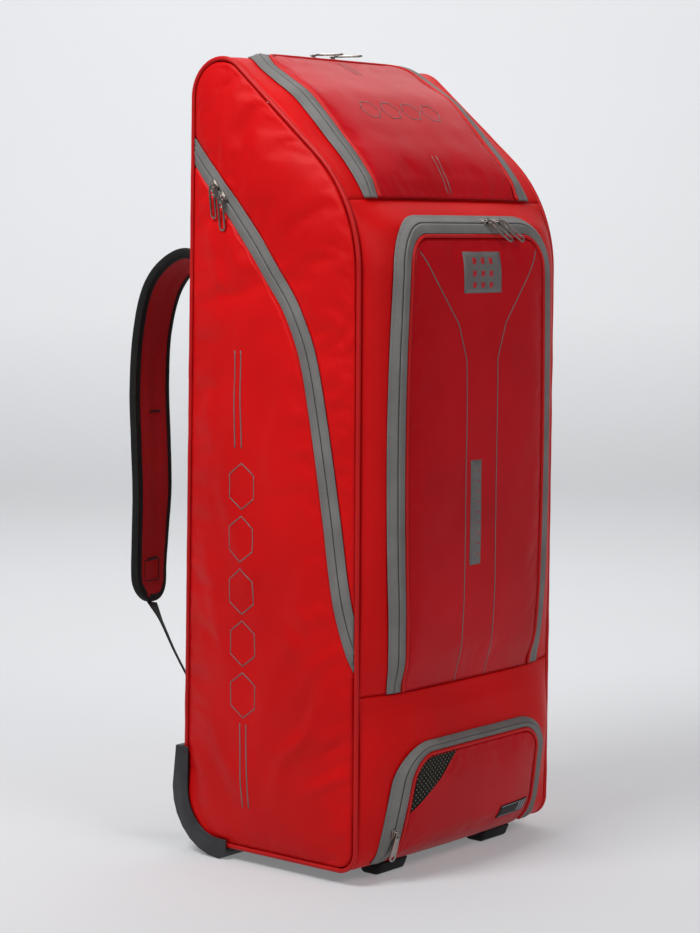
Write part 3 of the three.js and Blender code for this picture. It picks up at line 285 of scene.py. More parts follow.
def relief(point, edge, seed, share=1.0):  # point in mm, edge is the distance to the nearest seam
    place = Vector(point) + Vector((seed * 311.0, seed * 97.0, 0))
    calm = smooth(edge, 0, 35)
    value = folds["long"] * noise.noise(place / folds["longSize"]) * calm
    value += folds["short"] * noise.noise(place / folds["shortSize"]) * calm
    near = math.exp(-(edge / folds["puckerReach"]) ** 2) * smooth(edge, 0, 4)
    value += folds["pucker"] * noise.noise(place / folds["puckerSize"]) * near
    return value * share


def seamRoll(edge, depth=1.2, reach=4.5):  # cloth turns in towards its seam
    return -depth * (1 - clamp(edge / reach)) ** 2


# Mesh helpers

def newObject(name, bm):
    mesh = bpy.data.meshes.new(name)
    bm.to_mesh(mesh)
    bm.free()
    for face in mesh.polygons:
        face.use_smooth = True
    obj = bpy.data.objects.new(name, mesh)
    bpy.context.scene.collection.objects.link(obj)
    return obj


def gridBmesh(columns, rows, place, uvAt, flip=False):
    # a grid laid over a surface: place gives a point in mm, uvAt the cloth's own metres
    bm = bmesh.new()
    uvLayer = bm.loops.layers.uv.new("cloth")
    bmesh.ops.create_grid(bm, x_segments=columns, y_segments=rows, size=1)
    spots = {v: ((v.co.x + 1) / 2, (v.co.y + 1) / 2) for v in bm.verts}
    for face in bm.faces:
        for loop in face.loops:
            loop[uvLayer].uv = uvAt(*spots[loop.vert])
    for v, (u, w) in spots.items():
        v.co = toFrame(*place(u, w))
    if flip:
        bmesh.ops.reverse_faces(bm, faces=bm.faces[:])
    return bm


def weld(bm, distance=0.00005):
    bmesh.ops.remove_doubles(bm, verts=bm.verts[:], dist=distance)


def thicken(obj, wall, offset=-1.0):
    solid = obj.modifiers.new("wall", "SOLIDIFY")
    solid.thickness = wall / 1000
    solid.offset = offset
    return obj


def smoothOver(obj, levels=1):
    sub = obj.modifiers.new("smooth", "SUBSURF")
    sub.levels = sub.render_levels = levels
    return obj


def bevelEdges(obj, width, segments=2, angle=35):
    bevel = obj.modifiers.new("edges", "BEVEL")
    bevel.width = width / 1000
    bevel.segments = segments
    bevel.limit_method = "ANGLE"
    bevel.angle_limit = math.radians(angle)
    return obj


def finish(obj, body, material, nodes=()):
    obj.data.materials.clear()
    obj.data.materials.append(material)
    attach(obj, body)
    if nodes:
        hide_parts(*nodes)
    return obj


def tube(path, radius, sides=10, closed=False):
    # a round cord along points in mm: a grid wrapped round the path and welded
    count = len(path)
    run = [0.0]
    for a, b in zip(path, path[1:]):
        run.append(run[-1] + (b - a).length)
    frames = []
    normal = None
    for i, point in enumerate(path):
        before = path[i - 1] if i > 0 else (path[-2] if closed else point)
        after = path[i + 1] if i < count - 1 else (path[1] if closed else point)
        along = (after - before).normalized()
        if normal is None:
            normal = along.orthogonal().normalized()
        normal = (normal - along * normal.dot(along)).normalized()
        frames.append((point, normal.copy(), along.cross(normal)))

    def place(u, w):
        i = round(w * (count - 1))
        centre, side, out = frames[0 if closed and i == count - 1 else i]
        angle = 2 * math.pi * u
        return centre + side * (radius * math.cos(angle)) + out * (radius * math.sin(angle))

    def uvAt(u, w):
        return (u * 2 * math.pi * radius / 1000, run[round(w * (count - 1))] / 1000)

    bm = gridBmesh(sides, count - 1, place, uvAt)
    weld(bm)
    if not closed:
        ends = [e for e in bm.edges if e.is_boundary]
        bmesh.ops.holes_fill(bm, edges=ends, sides=sides + 2)
    bmesh.ops.recalc_face_normals(bm, faces=bm.faces[:])
    return bm


def copyNode(node):  # a CAD solid as a welded mesh
    bm = bmesh.new()
    bm.from_mesh(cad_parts[node].data)
    weld(bm, 0.00002)
    bmesh.ops.dissolve_limit(bm, angle_limit=math.radians(1), verts=bm.verts[:], edges=bm.edges[:])
    return bm


def puffCloth(obj, pinned, pressure, cap, frames=20, grow=0.0):
    # Blender's cloth with the pinned points held, applied to the mesh; no point moves more than cap
    mesh = obj.data
    start = [v.co.copy() for v in mesh.vertices]
    group = obj.vertex_groups.new(name="seams")
    group.add(sorted(pinned), 1.0, "REPLACE")
    cloth = obj.modifiers.new("cloth", "CLOTH")
    settings = cloth.settings
    settings.quality = 5
    settings.mass = 0.2
    settings.tension_stiffness = settings.compression_stiffness = 12
    settings.shear_stiffness = 4
    settings.bending_stiffness = 0.6
    settings.use_pressure = True
    settings.uniform_pressure_force = pressure
    settings.vertex_group_mass = "seams"
    settings.effector_weights.gravity = 0
    settings.shrink_min = -grow
    cloth.point_cache.frame_start, cloth.point_cache.frame_end = 1, frames
    scene = bpy.context.scene
    for frameNumber in range(1, frames + 1):
        scene.frame_set(frameNumber)
    evaluated = obj.evaluated_get(bpy.context.evaluated_depsgraph_get())
    moved = [v.co.copy() for v in evaluated.data.vertices]
    obj.modifiers.remove(cloth)
    obj.vertex_groups.clear()
    for vertex, a, b in zip(mesh.vertices, start, moved):
        step = b - a
        if not all(map(math.isfinite, step)):
            continue
        if step.length > 0:
            step *= math.tanh(step.length / cap) * cap / step.length
        vertex.co = a + step
    mesh.update()
    scene.frame_set(1)
    return obj


# Material helpers

def colour(code):
    parts = [int(code[i:i + 2], 16) / 255 for i in (0, 2, 4)]
    return tuple(p / 12.92 if p <= 0.04045 else ((p + 0.055) / 1.055) ** 2.4 for p in parts) + (1,)


class Shade:  # a material under construction: short names for the nodes that the finishes share
    def __init__(self, name, rough, metal=0.0, coat=0.0, shine=0.28):
        self.material = bpy.data.materials.new(name)
        self.material.use_nodes = True
        self.tree = self.material.node_tree
        self.shader = self.tree.nodes["Principled BSDF"]
        self.shader.inputs["Roughness"].default_value = rough
        self.shader.inputs["Metallic"].default_value = metal
        self.shader.inputs["Coat Weight"].default_value = coat
        self.shader.inputs["Coat Roughness"].default_value = 0.25
        self.shader.inputs["Specular IOR Level"].default_value = shine
        coords = self.node("ShaderNodeTexCoord")
        self.uv = coords.outputs["UV"]
        self.object = coords.outputs["Object"]

    def node(self, kind, **values):
        node = self.tree.nodes.new(kind)
        for key, value in values.items():
            setattr(node, key, value)
        return node

    def link(self, a, b):
        self.tree.links.new(a, b)

    def math(self, operation, *values):
        node = self.node("ShaderNodeMath", operation=operation)
        for socket, value in zip(node.inputs, values):
            if isinstance(value, (int, float)):
                socket.default_value = value
            else:
                self.link(value, socket)
        return node.outputs[0]

    def axes(self, socket):
        node = self.node("ShaderNodeSeparateXYZ")
        self.link(socket, node.inputs[0])
        return node.outputs

    def noise(self, size, detail=2.0, rough=0.5):
        node = self.node("ShaderNodeTexNoise")
        node.inputs["Scale"].default_value = 1000 / size
        node.inputs["Detail"].default_value = detail
        node.inputs["Roughness"].default_value = rough
        self.link(self.object, node.inputs["Vector"])
        return node.outputs["Fac"]

    def ramp(self, value, stops):
        node = self.node("ShaderNodeValToRGB")
        elements = node.color_ramp.elements
        while len(elements) < len(stops):
            elements.new(0.5)
        for element, (at, tone) in zip(elements, stops):
            element.position = at
            element.color = tone if isinstance(tone, tuple) else (tone, tone, tone, 1)
        self.link(value, node.inputs["Fac"])
        return node.outputs["Color"]

    def blend(self, factor, a, b, mode="MIX"):
        node = self.node("ShaderNodeMix", data_type="RGBA", blend_type=mode)
        for socket, value in ((node.inputs[0], factor), (node.inputs[6], a), (node.inputs[7], b)):
            if isinstance(value, (int, float, tuple)):
                socket.default_value = value
            else:
                self.link(value, socket)
        return node.outputs[2]

    def ridges(self, value, pitch):  # rounded ridges along one axis, pitch in mm
        return self.math("SINE", self.math("MULTIPLY", value, 2000 * math.pi / pitch))

    def weave(self, pitch):  # plain weave: two crossed sets of threads
        x, y, _ = self.axes(self.uv)
        a = self.ridges(x, pitch)
        b = self.ridges(y, pitch)
        return self.math("MULTIPLY", a, b)

    def line(self, value, at, width, soft=0.15):  # 1 on a thin line at a place in mm
        far = self.math("ABSOLUTE", self.math("SUBTRACT", value, at / 1000))
        node = self.node("ShaderNodeMapRange", interpolation_type="SMOOTHSTEP")
        node.inputs["From Min"].default_value = (width / 2 + soft) / 1000
        node.inputs["From Max"].default_value = max(0, width / 2 - soft) / 1000
        self.link(far, node.inputs["Value"])
        return node.outputs["Result"]

    def bump(self, height, distance, strength=1.0, under=None):
        node = self.node("ShaderNodeBump")
        node.inputs["Strength"].default_value = strength
        node.inputs["Distance"].default_value = distance / 1000
        self.link(height, node.inputs["Height"])
        if under:
            self.link(under, node.inputs["Normal"])
        return node.outputs["Normal"]

    def done(self, base=None, rough=None, normal=None):
        for key, value in (("Base Color", base), ("Roughness", rough), ("Normal", normal)):
            if value is not None:
                self.link(value, self.shader.inputs[key])
        return self.material


def clothMaterial(name, main, deep, settings):
    shade = Shade(name, settings["rough"], coat=settings["coat"], shine=settings["shine"])
    patches = shade.ramp(shade.noise(160, 3), [(0.3, colour(deep)), (0.7, colour(main))])
    threads = shade.weave(settings["pitch"])
    flecks = shade.ramp(shade.noise(1.1, 2), [(0.35, 0.86), (0.65, 1.0)])
    base = shade.blend(settings["fleck"], patches, flecks, "MULTIPLY")
    worn = shade.noise(26, 4)
    rough = shade.math("ADD", shade.math("MULTIPLY", worn, settings["roughSpread"]), settings["rough"])
    wide = shade.bump(worn, settings["wideBump"], 0.5)
    return shade.done(base, rough, shade.bump(threads, settings["threadBump"], 0.6, wide))


fabric = {
    "cloth": {"rough": 0.4, "roughSpread": 0.12, "coat": 0.0, "shine": 0.12, "pitch": 1.1, "fleck": 0.5,
              "wideBump": 0.35, "threadBump": 0.06},
    "coated": {"rough": 0.33, "roughSpread": 0.12, "coat": 0.03, "shine": 0.12, "pitch": 0.9, "fleck": 0.35,
               "wideBump": 0.25, "threadBump": 0.025},
    "piping": {"rough": 0.42, "roughSpread": 0.12, "coat": 0.0, "shine": 0.25, "pitch": 0.9, "fleck": 0.5,
               "wideBump": 0.15, "threadBump": 0.05},
}
redCloth = clothMaterial("red_cloth", "cf0a0c", "bd0609", fabric["cloth"])
crimsonCoated = clothMaterial("crimson_coated", "b90716", "a5040f", fabric["coated"])
redPiping = clothMaterial("red_piping", "c00a0b", "ab0508", fabric["piping"])
darkLining = clothMaterial("dark_lining", "1b1a1d", "131215", fabric["cloth"])


def tapeMaterial():
    # u runs across the tape from its outer edge, v along it
    shade = Shade("grey_tape", 0.62)
    across, along, _ = shade.axes(shade.uv)
    base = shade.ramp(shade.noise(40, 3), [(0.3, colour("656361")), (0.7, colour("747270"))])
    ribs = shade.ridges(along, 1.3)
    grain = shade.ridges(across, 1.0)
    dash = shade.math("GREATER_THAN", shade.ridges(along, 5.2), -0.3)
    for at in (2.6, 20.4):
        row = shade.math("MULTIPLY", shade.line(across, at, 0.7, 0.2), dash)
        base = shade.blend(shade.math("MULTIPLY", row, 0.55), base, colour("4c4d51"))
    slit = shade.line(across, 11.5, 1.0, 0.35)
    base = shade.blend(slit, base, colour("26262a"))
    height = shade.math("ADD", shade.math("MULTIPLY", ribs, 0.5), shade.math("MULTIPLY", grain, 0.35))
    return shade.done(base, None, shade.bump(height, 0.12, 0.7))


def webbingMaterial(name, main, light, pitch):
    shade = Shade(name, 0.72)
    across, along, _ = shade.axes(shade.uv)
    ribs = shade.ridges(along, pitch)
    cross = shade.ridges(across, pitch * 1.6)
    tone = shade.ramp(shade.math("MULTIPLY", ribs, cross), [(0.1, colour(main)), (0.9, colour(light))])
    base = shade.blend(0.35, tone, shade.ramp(shade.noise(14, 3), [(0.3, 0.7), (0.7, 1.0)]), "MULTIPLY")
    return shade.done(base, None, shade.bump(shade.math("ADD", ribs, cross), 0.2, 0.8))


def meshMaterial(name, thread, hole, pitch, edges=(0.3, 0.55)):
    # spacer mesh: staggered round holes between threads
    shade = Shade(name, 0.8)
    x, y, _ = shade.axes(shade.uv)
    turn = math.pi * 1000 / pitch
    a = shade.math("SINE", shade.math("MULTIPLY", shade.math("ADD", x, y), turn))
    b = shade.math("SINE", shade.math("MULTIPLY", shade.math("SUBTRACT", x, y), turn))
    cell = shade.math("ABSOLUTE", shade.math("MULTIPLY", a, b))
    base = shade.ramp(cell, [(edges[0], colour(thread)), (edges[1], colour(hole))])
    return shade.done(base, None, shade.bump(shade.math("SUBTRACT", 1.0, cell), 0.6, 0.9))


def ribMaterial(name, crest, valley, pitch):  # knitted spacer cloth: slanted ribs crossed by a finer set
    shade = Shade(name, 0.8)
    x, y, _ = shade.axes(shade.uv)
    turn = math.pi * 1000 / pitch
    slant = shade.math("MULTIPLY", shade.math("ADD", x, shade.math("MULTIPLY", y, 0.8)), turn)
    cross = shade.math("MULTIPLY", shade.math("SUBTRACT", x, y), turn * 1.6)
    ribs = shade.math("ABSOLUTE", shade.math("SINE", slant))
    fine = shade.math("ABSOLUTE", shade.math("SINE", cross))
    cell = shade.math("ADD", shade.math("MULTIPLY", ribs, 0.75), shade.math("MULTIPLY", fine, 0.25))
    base = shade.ramp(cell, [(0.25, colour(valley)), (0.8, colour(crest))])
    return shade.done(base, None, shade.bump(cell, 0.6, 0.9))


def plainMaterial(name, main, light, rough, metal=0.0, grain=1.2, bump=0.06):
    shade = Shade(name, rough, metal=metal)
    scuffs = shade.noise(22, 5, rough=0.6)
    base = shade.ramp(scuffs, [(0.35, colour(main)), (0.75, colour(light))])
    roughness = shade.math("ADD", shade.math("MULTIPLY", scuffs, 0.16), rough - 0.06)
    return shade.done(base, roughness, shade.bump(shade.noise(grain, 3), bump, 0.6))


greyTape = tapeMaterial()
blackWebbing = webbingMaterial("black_webbing", "070708", "19191b", 1.5)
blackBinding = webbingMaterial("black_binding", "060606", "151516", 1.9)
spacerMesh = ribMaterial("spacer_mesh", "c0141d", "5a070b", 3.4)
stitchThread = plainMaterial("dark_stitch", "2a0305", "3c0508", 0.7, grain=0.9, bump=0.05)
ventMesh = meshMaterial("vent_mesh", "09090a", "5e5949", 6.4, (0.66, 0.8))
nickel = plainMaterial("plated_metal", "8d8680", "aca59e", 0.24, metal=1.0, grain=0.8, bump=0.02)
mouldedPlastic = plainMaterial("moulded_plastic", "2b2b2d", "38383a", 0.42, grain=0.7, bump=0.05)
blackRubber = plainMaterial("black_rubber", "101012", "1d1d1f", 0.68, grain=1.6, bump=0.12)
hubPlastic = plainMaterial("hub_plastic", "4a4b50", "5b5c61", 0.4, grain=1.0, bump=0.04)
printFilm = plainMaterial("grey_print", "5f5a5a", "6d6867", 0.38, grain=0.9, bump=0.02)
redFilm = plainMaterial("red_print", "a3121f", "b01825", 0.35, grain=0.9, bump=0.02)
labelBlack = plainMaterial("label_black", "0c0c0d", "18181a", 0.5, grain=0.9, bump=0.05)
labelGrey = plainMaterial("label_grey", "7f7f83", "95959a", 0.5, grain=0.9, bump=0.05)
print("materials made")

# Cloth panels of the body

panels = {
    "front_cloth_lower": {"node": "front_lower", "s": (toeStart, bottomSeam), "rows": 64, "seed": 1,
                          "fold": 1.0},
    "front_cloth_upper": {"node": "front_upper", "s": (bottomSeam, lidSeam), "rows": 130, "seed": 2,
                          "fold": 0.5},
    "top_cloth": {"node": "top_panel", "s": (lidSeam, outline[6][0]), "rows": 96, "seed": 3, "fold": 0.6},
    "back_cloth": {"node": "back_panel", "s": (outline[6][0] + 0.25, guardSeam), "rows": 110, "seed": 4,
                   "fold": 0.5},
}


def makeStripPanel(name, spec):
    low, high = spec["s"][0] + bag["seamGap"] / 2, spec["s"][1] - bag["seamGap"] / 2

    def spot(u, w):
        bend = 0.5 - 0.5 * math.cos(math.pi * u)  # columns close up towards the seams
        x = mix(-stripHalf, stripHalf, mix(u, bend, 0.6))
        return x, mix(low, high, w)

    def place(u, w):
        x, s = spot(u, w)
        edge = min(stripHalf - abs(x), s - low, high - s)
        lift = seamRoll(edge) + relief((x, s, 0), edge, spec["seed"], spec["fold"])
        return stripPoint(x, s, lift)

    def uvAt(u, w):
        x, s = spot(u, w)
        return x / 1000, s / 1000

    bm = gridBmesh(96, spec["rows"], place, uvAt)
    obj = thicken(newObject(name, bm), bag["clothWall"])
    return finish(obj, "bag", redCloth, [spec["node"]])


for panelName, panelSpec in panels.items():
    makeStripPanel(panelName, panelSpec)
print("strip panels made")

basePanel = {"wellHalf": 20.5, "wellFront": 64, "wellTop": 77, "gap": 0.5}


def makeBase():
    low, high = guardSeam + basePanel["gap"], outlineLength + toeStart - 2 * basePanel["gap"]

    def place(u, w):
        x, s = mix(-stripHalf, stripHalf, u), mix(low, high, w)
        edge = min(stripHalf - abs(x), s - low, high - s)
        return stripPoint(x, s % outlineLength, seamRoll(edge) + relief((x, s, 0), edge, 7, 0.5))

    def uvAt(u, w):
        return mix(-stripHalf, stripHalf, u) / 1000, mix(low, high, w) / 1000

    bm = gridBmesh(90, 110, place, uvAt)
    for side in (-1, 1):
        for offset in (-1, 1):
            at = toFrame(side * bag["wheelX"] + offset * basePanel["wellHalf"], 0, 0)
            geometry = bm.verts[:] + bm.edges[:] + bm.faces[:]
            bmesh.ops.bisect_plane(bm, geom=geometry, plane_co=at, plane_no=(1, 0, 0), dist=1e-6)
    at = toFrame(0, basePanel["wellFront"], 0)
    geometry = bm.verts[:] + bm.edges[:] + bm.faces[:]
    bmesh.ops.bisect_plane(bm, geom=geometry, plane_co=at, plane_no=(0, 1, 0), dist=1e-6)

    def overWell(face):
        centre = face.calc_center_median()
        x, y, z = (centre.x - shiftX) * 1000, (centre.y - shiftY) * 1000, centre.z * 1000
        near = abs(abs(x) - bag["wheelX"]) < basePanel["wellHalf"]
        return near and y > basePanel["wellFront"] and z < basePanel["wellTop"]

    bmesh.ops.delete(bm, geom=[f for f in bm.faces if overWell(f)], context="FACES")
    obj = thicken(newObject("base_cloth", bm), bag["clothWall"])
    return finish(obj, "bag", darkLining, ["base_panel"])


makeBase()

# Side panels; the left one has a channel in which the long zip lies
sideCloth = {"columns": 44, "rows": 190, "channel": 13.2, "channelDepth": 2.6, "slopeFrom": 780,
             "taut": 0.2, "tautReach": (10, 48), "leftSeed": 11, "rightSeed": 12, "pressure": 1.2,
             "cap": 0.0028, "grow": 0.012}
zipTape = {"half": 12, "lift": -0.9, "ridge": 0.9, "slit": 1.0}
tapeWidth, trimRadius, tapeWall, layerGap = 23, 2.2, 1.6, bag["layerGap"]


def rowHeight(w):
    bend = 0.5 - 0.5 * math.cos(math.pi * w)
    return mix(sideBottom, sideTop - 0.5, mix(w, bend, 0.35))


def sideEdge(y, z):
    gap = min(y - frontRim(z), backRim(z) - y)
    if z > sideCloth["slopeFrom"]:  # the slanted rim is nearer than the level gap says
        gap *= 0.72
    return max(0, min(gap, z - sideBottom, sideTop - z))


sideFolds = [  # depth, the fold's y and z, its half length, half width and lean in degrees from upright
    (3.4, -70, 190, 80, 11, -38), (2.8, -45, 150, 70, 9, -30), (2.6, -88, 255, 50, 9, -52),
    (3.0, -98, 120, 36, 8, -60), (2.6, -20, 245, 100, 16, -24), (2.2, 60, 120, 60, 14, 35),
    (2.2, 88, 330, 90, 12, 14), (2.4, 30, 620, 130, 17, -9), (2.0, -25, 520, 110, 13, -14),
    (2.4, 75, 700, 95, 13, 10), (2.8, 20, 790, 80, 10, -12), (2.4, 60, 840, 60, 9, 4),
    (2.0, -15, 730, 70, 9, -20), (1.9, 95, 500, 80, 12, 6), (-2.2, -92, 300, 16, 9, -70),
    (-2.0, -72, 318, 14, 8, 40), (-2.4, -104, 165, 26, 7, -55), (-1.8, -50, 285, 18, 9, 60),
    (-1.6, 10, 330, 40, 12, -35), (1.9, 40, 400, 90, 15, 20),
]


def sideRelief(y, z, seed):
    edge = sideEdge(y, z)
    wander = 14 * noise.noise(Vector((y, z, seed * 40)) / 70)
    pull = 0
    for depth, foldY, foldZ, length, wide, lean in sideFolds:
        turn = math.radians(lean)
        along = (z - foldZ) * math.cos(turn) + (y - foldY) * math.sin(turn)
        across = (y - foldY) * math.cos(turn) - (z - foldZ) * math.sin(turn) + wander
        crest = math.exp(-(across / wide) ** 2)
        trough = 0.55 * math.exp(-((across - 1.7 * wide) / (wide * 1.2)) ** 2)
        pull += depth * math.exp(-(along / length) ** 2) * (crest - trough)
    cloth = relief((y, z, 0), edge, seed, 1.3) + pull * smooth(edge, 0, 24)
    if seed == sideCloth["leftSeed"]:  # the taut zip pulls the cloth beside it flat
        far = abs(y - zipCentre(z)) / zipStretch(z)
        cloth *= mix(sideCloth["taut"], 1, smooth(far, *sideCloth["tautReach"]))
    return seamRoll(edge) + cloth


def makeSide(name, side, nodes):
    left = side < 0
    reach = sideCloth["channel"]
    steps = [-reach - 2.4, -reach - 1.0, -reach, -reach + 0.5, -4]
    steps += [-step for step in reversed(steps)]
    seed = sideCloth["leftSeed" if left else "rightSeed"]
    half = sideCloth["columns"]
    columns = 2 * half + len(steps) - 1 if left else 2 * half

    def across(u, z):
        front, back = frontRim(z), backRim(z)
        if not left:
            return mix(front, back, u)
        i = round(u * columns)
        stretch = zipStretch(z)
        marks = [clamp(zipCentre(z) + step * stretch, front, back) for step in steps]
        if i < half:
            return mix(front, marks[0], i / half)
        if i >= half + len(steps):
            return mix(marks[-1], back, (i - half - len(steps) + 1) / half)
        return marks[i - half]

    def zipSink(y, z):
        if not left:
            return 0
        far = abs(y - zipCentre(z)) / zipStretch(z)
        return -sideCloth["channelDepth"] * (1 - smooth(far, reach - 0.5, reach + 1.6))

    def place(u, w):
        z = rowHeight(w)
        y = across(u, z)
        point = sidePoint(y, z, sideRelief(y, z, seed) + zipSink(y, z))
        return Vector((point.x * -side, point.y, point.z))

    def uvAt(u, w):
        z = rowHeight(w)
        return across(u, z) / 1000, z / 1000

    bm = gridBmesh(columns, sideCloth["rows"], place, uvAt, flip=left)
    weld(bm, 0.00002)
    obj = newObject(name, bm)
    pinned = set()
    for vertex in obj.data.vertices:
        y, z = (vertex.co.y - shiftY) * 1000, vertex.co.z * 1000
        if sideEdge(y, z) < 2.5 or (left and zipSink(y, z) < -0.3):
            pinned.add(vertex.index)
    puffCloth(obj, pinned, sideCloth["pressure"], sideCloth["cap"], frames=16, grow=sideCloth["grow"])
    thicken(obj, bag["clothWall"])
    return finish(obj, "bag", redCloth, nodes)


makeSide("side_cloth_right", 1, ["side_right"])
makeSide("side_cloth_left", -1, ["side_left_front", "side_left_rear"])
print("sides made")


def tapeProfile(across, width):  # lift over the tape: two halves that meet in a slit over the coil
    far = abs(across - width / 2)
    ridge = zipTape["ridge"] * math.exp(-((far - 2.4) / 2.2) ** 2)
    slit = -zipTape["slit"] * math.exp(-(far / 0.55) ** 2)
    edge = -0.5 * (1 - clamp(min(across, width - across) / 1.2)) ** 2
    return ridge + slit + edge


def tapeShares(width):  # shares of a tape's width, with lines where its profile turns
    middle = width / 2
    lines = [0.0, 0.6, 1.2, middle - 5, middle - 2.4, middle - 1.1, middle - 0.45, middle, middle + 0.45,
             middle + 1.1, middle + 2.4, middle + 5, width - 1.2, width - 0.6, width]
    return [line / width for line in lines]


def makeSideZip():
    middle, reach, width = bag["height"] / 2, zipTape["half"], 2 * zipTape["half"]
    low = solve(sideBottom, middle, 0, lambda z: zipCentre(z) + reach * zipStretch(z) - frontRim(z)) + 1
    high = solve(middle, sideTop - 5, 0, lambda z: zipCentre(z) - reach * zipStretch(z) - backRim(z)) - 1
    shares = tapeShares(width)
    rows = 170
    run = [0.0]
    heights = [mix(low, high, i / rows) for i in range(rows + 1)]
    for a, b in zip(heights, heights[1:]):
        run.append(run[-1] + (b - a) * zipStretch((a + b) / 2))

    def place(u, w):
        z = mix(low, high, w)
        across = shares[round(u * (len(shares) - 1))] * width
        y = clamp(zipCentre(z) + (across - width / 2) * zipStretch(z), frontRim(z), backRim(z))
        cloth = sideRelief(y, z, sideCloth["leftSeed"]) - seamRoll(sideEdge(y, z))
        return sidePoint(y, z, zipTape["lift"] + tapeProfile(across, width) + cloth)

    def uvAt(u, w):  # as wide as a pocket's tape, since they share a material
        return shares[round(u * (len(shares) - 1))] * tapeWidth / 1000, run[round(w * rows)] / 1000

    bm = gridBmesh(len(shares) - 1, rows, place, uvAt, flip=True)
    weld(bm, 0.00001)
    obj = thicken(newObject("side_zip", bm), 1.2)
    return finish(obj, "bag", greyTape, ["side_zip_tape"])


makeSideZip()

# Piping round each side


def makePiping(name, side):
    cord = {"radius": 2.9, "inset": bag["pipingInset"], "steps": 420}
    path = []
    for i in range(cord["steps"] + 1):
        s = outlineLength * (i % cord["steps"]) / cord["steps"]
        y, z, ny, nz = outlineAt(s)
        wobble = 0.35 * noise.noise(Vector((s / 37, side * 5, 0))) * smooth(min(s, outlineLength - s), 0, 30)
        inset = cord["inset"] - wobble
        path.append(Vector((side * (bag["width"] / 2 - inset), y - ny * inset, z - nz * inset)))
    obj = newObject(name, tube(path, cord["radius"], 12, closed=True))
    return finish(obj, "bag", redPiping, [name.replace("edge_", "")])


makePiping("edge_piping_left", -1)
makePiping("edge_piping_right", 1)

# Pockets: an upright shape on the front with a straight foot and a rounded head

tallTop = frontAt(0.972 * bag["lidSeam"] * bag["height"])
lowerTop = frontAt(0.748 * bag["bottomSeam"] * bag["height"])
pockets = {
    "tall_pocket": {"bottom": bottomSeam + 0.5, "top": tallTop, "half": 157, "corner": 58, "rise": 4.6,
                    "crown": 4.5, "foot": 45, "bow": 0.07, "flare": 0, "head": 1, "seed": 21, "rows": 130,
                    "cap": 0.0011, "grow": 0.003},
    "lower_pocket": {"bottom": frontAt(24), "top": lowerTop - 4, "half": 143, "corner": 56, "rise": 7,
                     "crown": 5.5, "foot": 30, "bow": 0, "flare": 0.09, "head": 0.5, "seed": 22, "rows": 60,
                     "cap": 0.0011, "grow": 0.003},
    "lid": {"bottom": lidSeam + 0.5, "top": outlineTop + 17, "half": 157, "corner": 60, "rise": 4.2,
            "crown": 2.5, "foot": 25, "bow": 0, "flare": 0, "head": 1, "seed": 23, "rows": 80,
            "cap": 0.0013, "grow": 0.005},
}


def bowAt(pocket, s):  # the tall pocket narrows to both ends, the lower one widens to its foot
    middle = (bottomSeam + tallTop) / 2
    bow = pocket["bow"] * ((s - middle) / (middle - bottomSeam)) ** 2
    return 1 - bow + pocket["flare"] * (pocket["top"] - s) / (pocket["top"] - pocket["bottom"])


def innerLift(pocket, s):
    climb = smooth(s, pocket["bottom"], pocket["bottom"] + pocket["foot"])
    return layerGap + bag["clothWall"] + pocket["rise"] * climb


def panelLift(pocket, x, s):
    share = min(1, abs(x) / (pocket["half"] - tapeWidth))
    along = clamp((s - pocket["bottom"]) / (pocket["top"] - tapeWidth - pocket["bottom"]))
    return innerLift(pocket, s) + pocket["crown"] * (1 - share ** 3) * math.sin(math.pi * along) ** 0.7


def archPath(inner, corner, bottom, top, steps):
    # stations from the left foot over the head: x, s, the outward direction and the run
    side, arc, head = top - corner - bottom, corner * math.pi / 2, 2 * (inner - corner)
    total = 2 * side + 2 * arc + head
    path = []
    for i in range(steps + 1):
        d = total * i / steps
        if d <= side:
            path.append((-inner, bottom + d, -1, 0, d))
        elif d <= side + arc:
            angle = math.pi - (d - side) / corner
            nx, ns = math.cos(angle), math.sin(angle)
            path.append((-inner + corner + corner * nx, top - corner + corner * ns, nx, ns, d))
        elif d <= side + arc + head:
            path.append((-inner + corner + d - side - arc, top, 0, 1, d))
        elif d <= side + 2 * arc + head:
            angle = math.pi / 2 - (d - side - arc - head) / corner
            nx, ns = math.cos(angle), math.sin(angle)
            path.append((inner - corner + corner * nx, top - corner + corner * ns, nx, ns, d))
        else:
            path.append((inner, bottom + total - d, 1, 0, d))
    return path


def rimPath(pocket, steps):  # the line between a pocket's tape and its piping
    top = pocket["top"] - tapeWidth * pocket["head"]
    return archPath(pocket["half"] - tapeWidth, pocket["corner"] - tapeWidth, pocket["bottom"], top, steps)


def rimSpot(pocket, station, offset):
    s = station[1] + station[3] * offset * (pocket["head"] if offset > 0 else 1)
    return (station[0] + station[2] * offset) * bowAt(pocket, s), s


def treeOf(obj):
    surface = bmesh.new()
    surface.from_mesh(obj.data)
    tree = BVHTree.FromBMesh(surface)
    surface.free()
    return tree


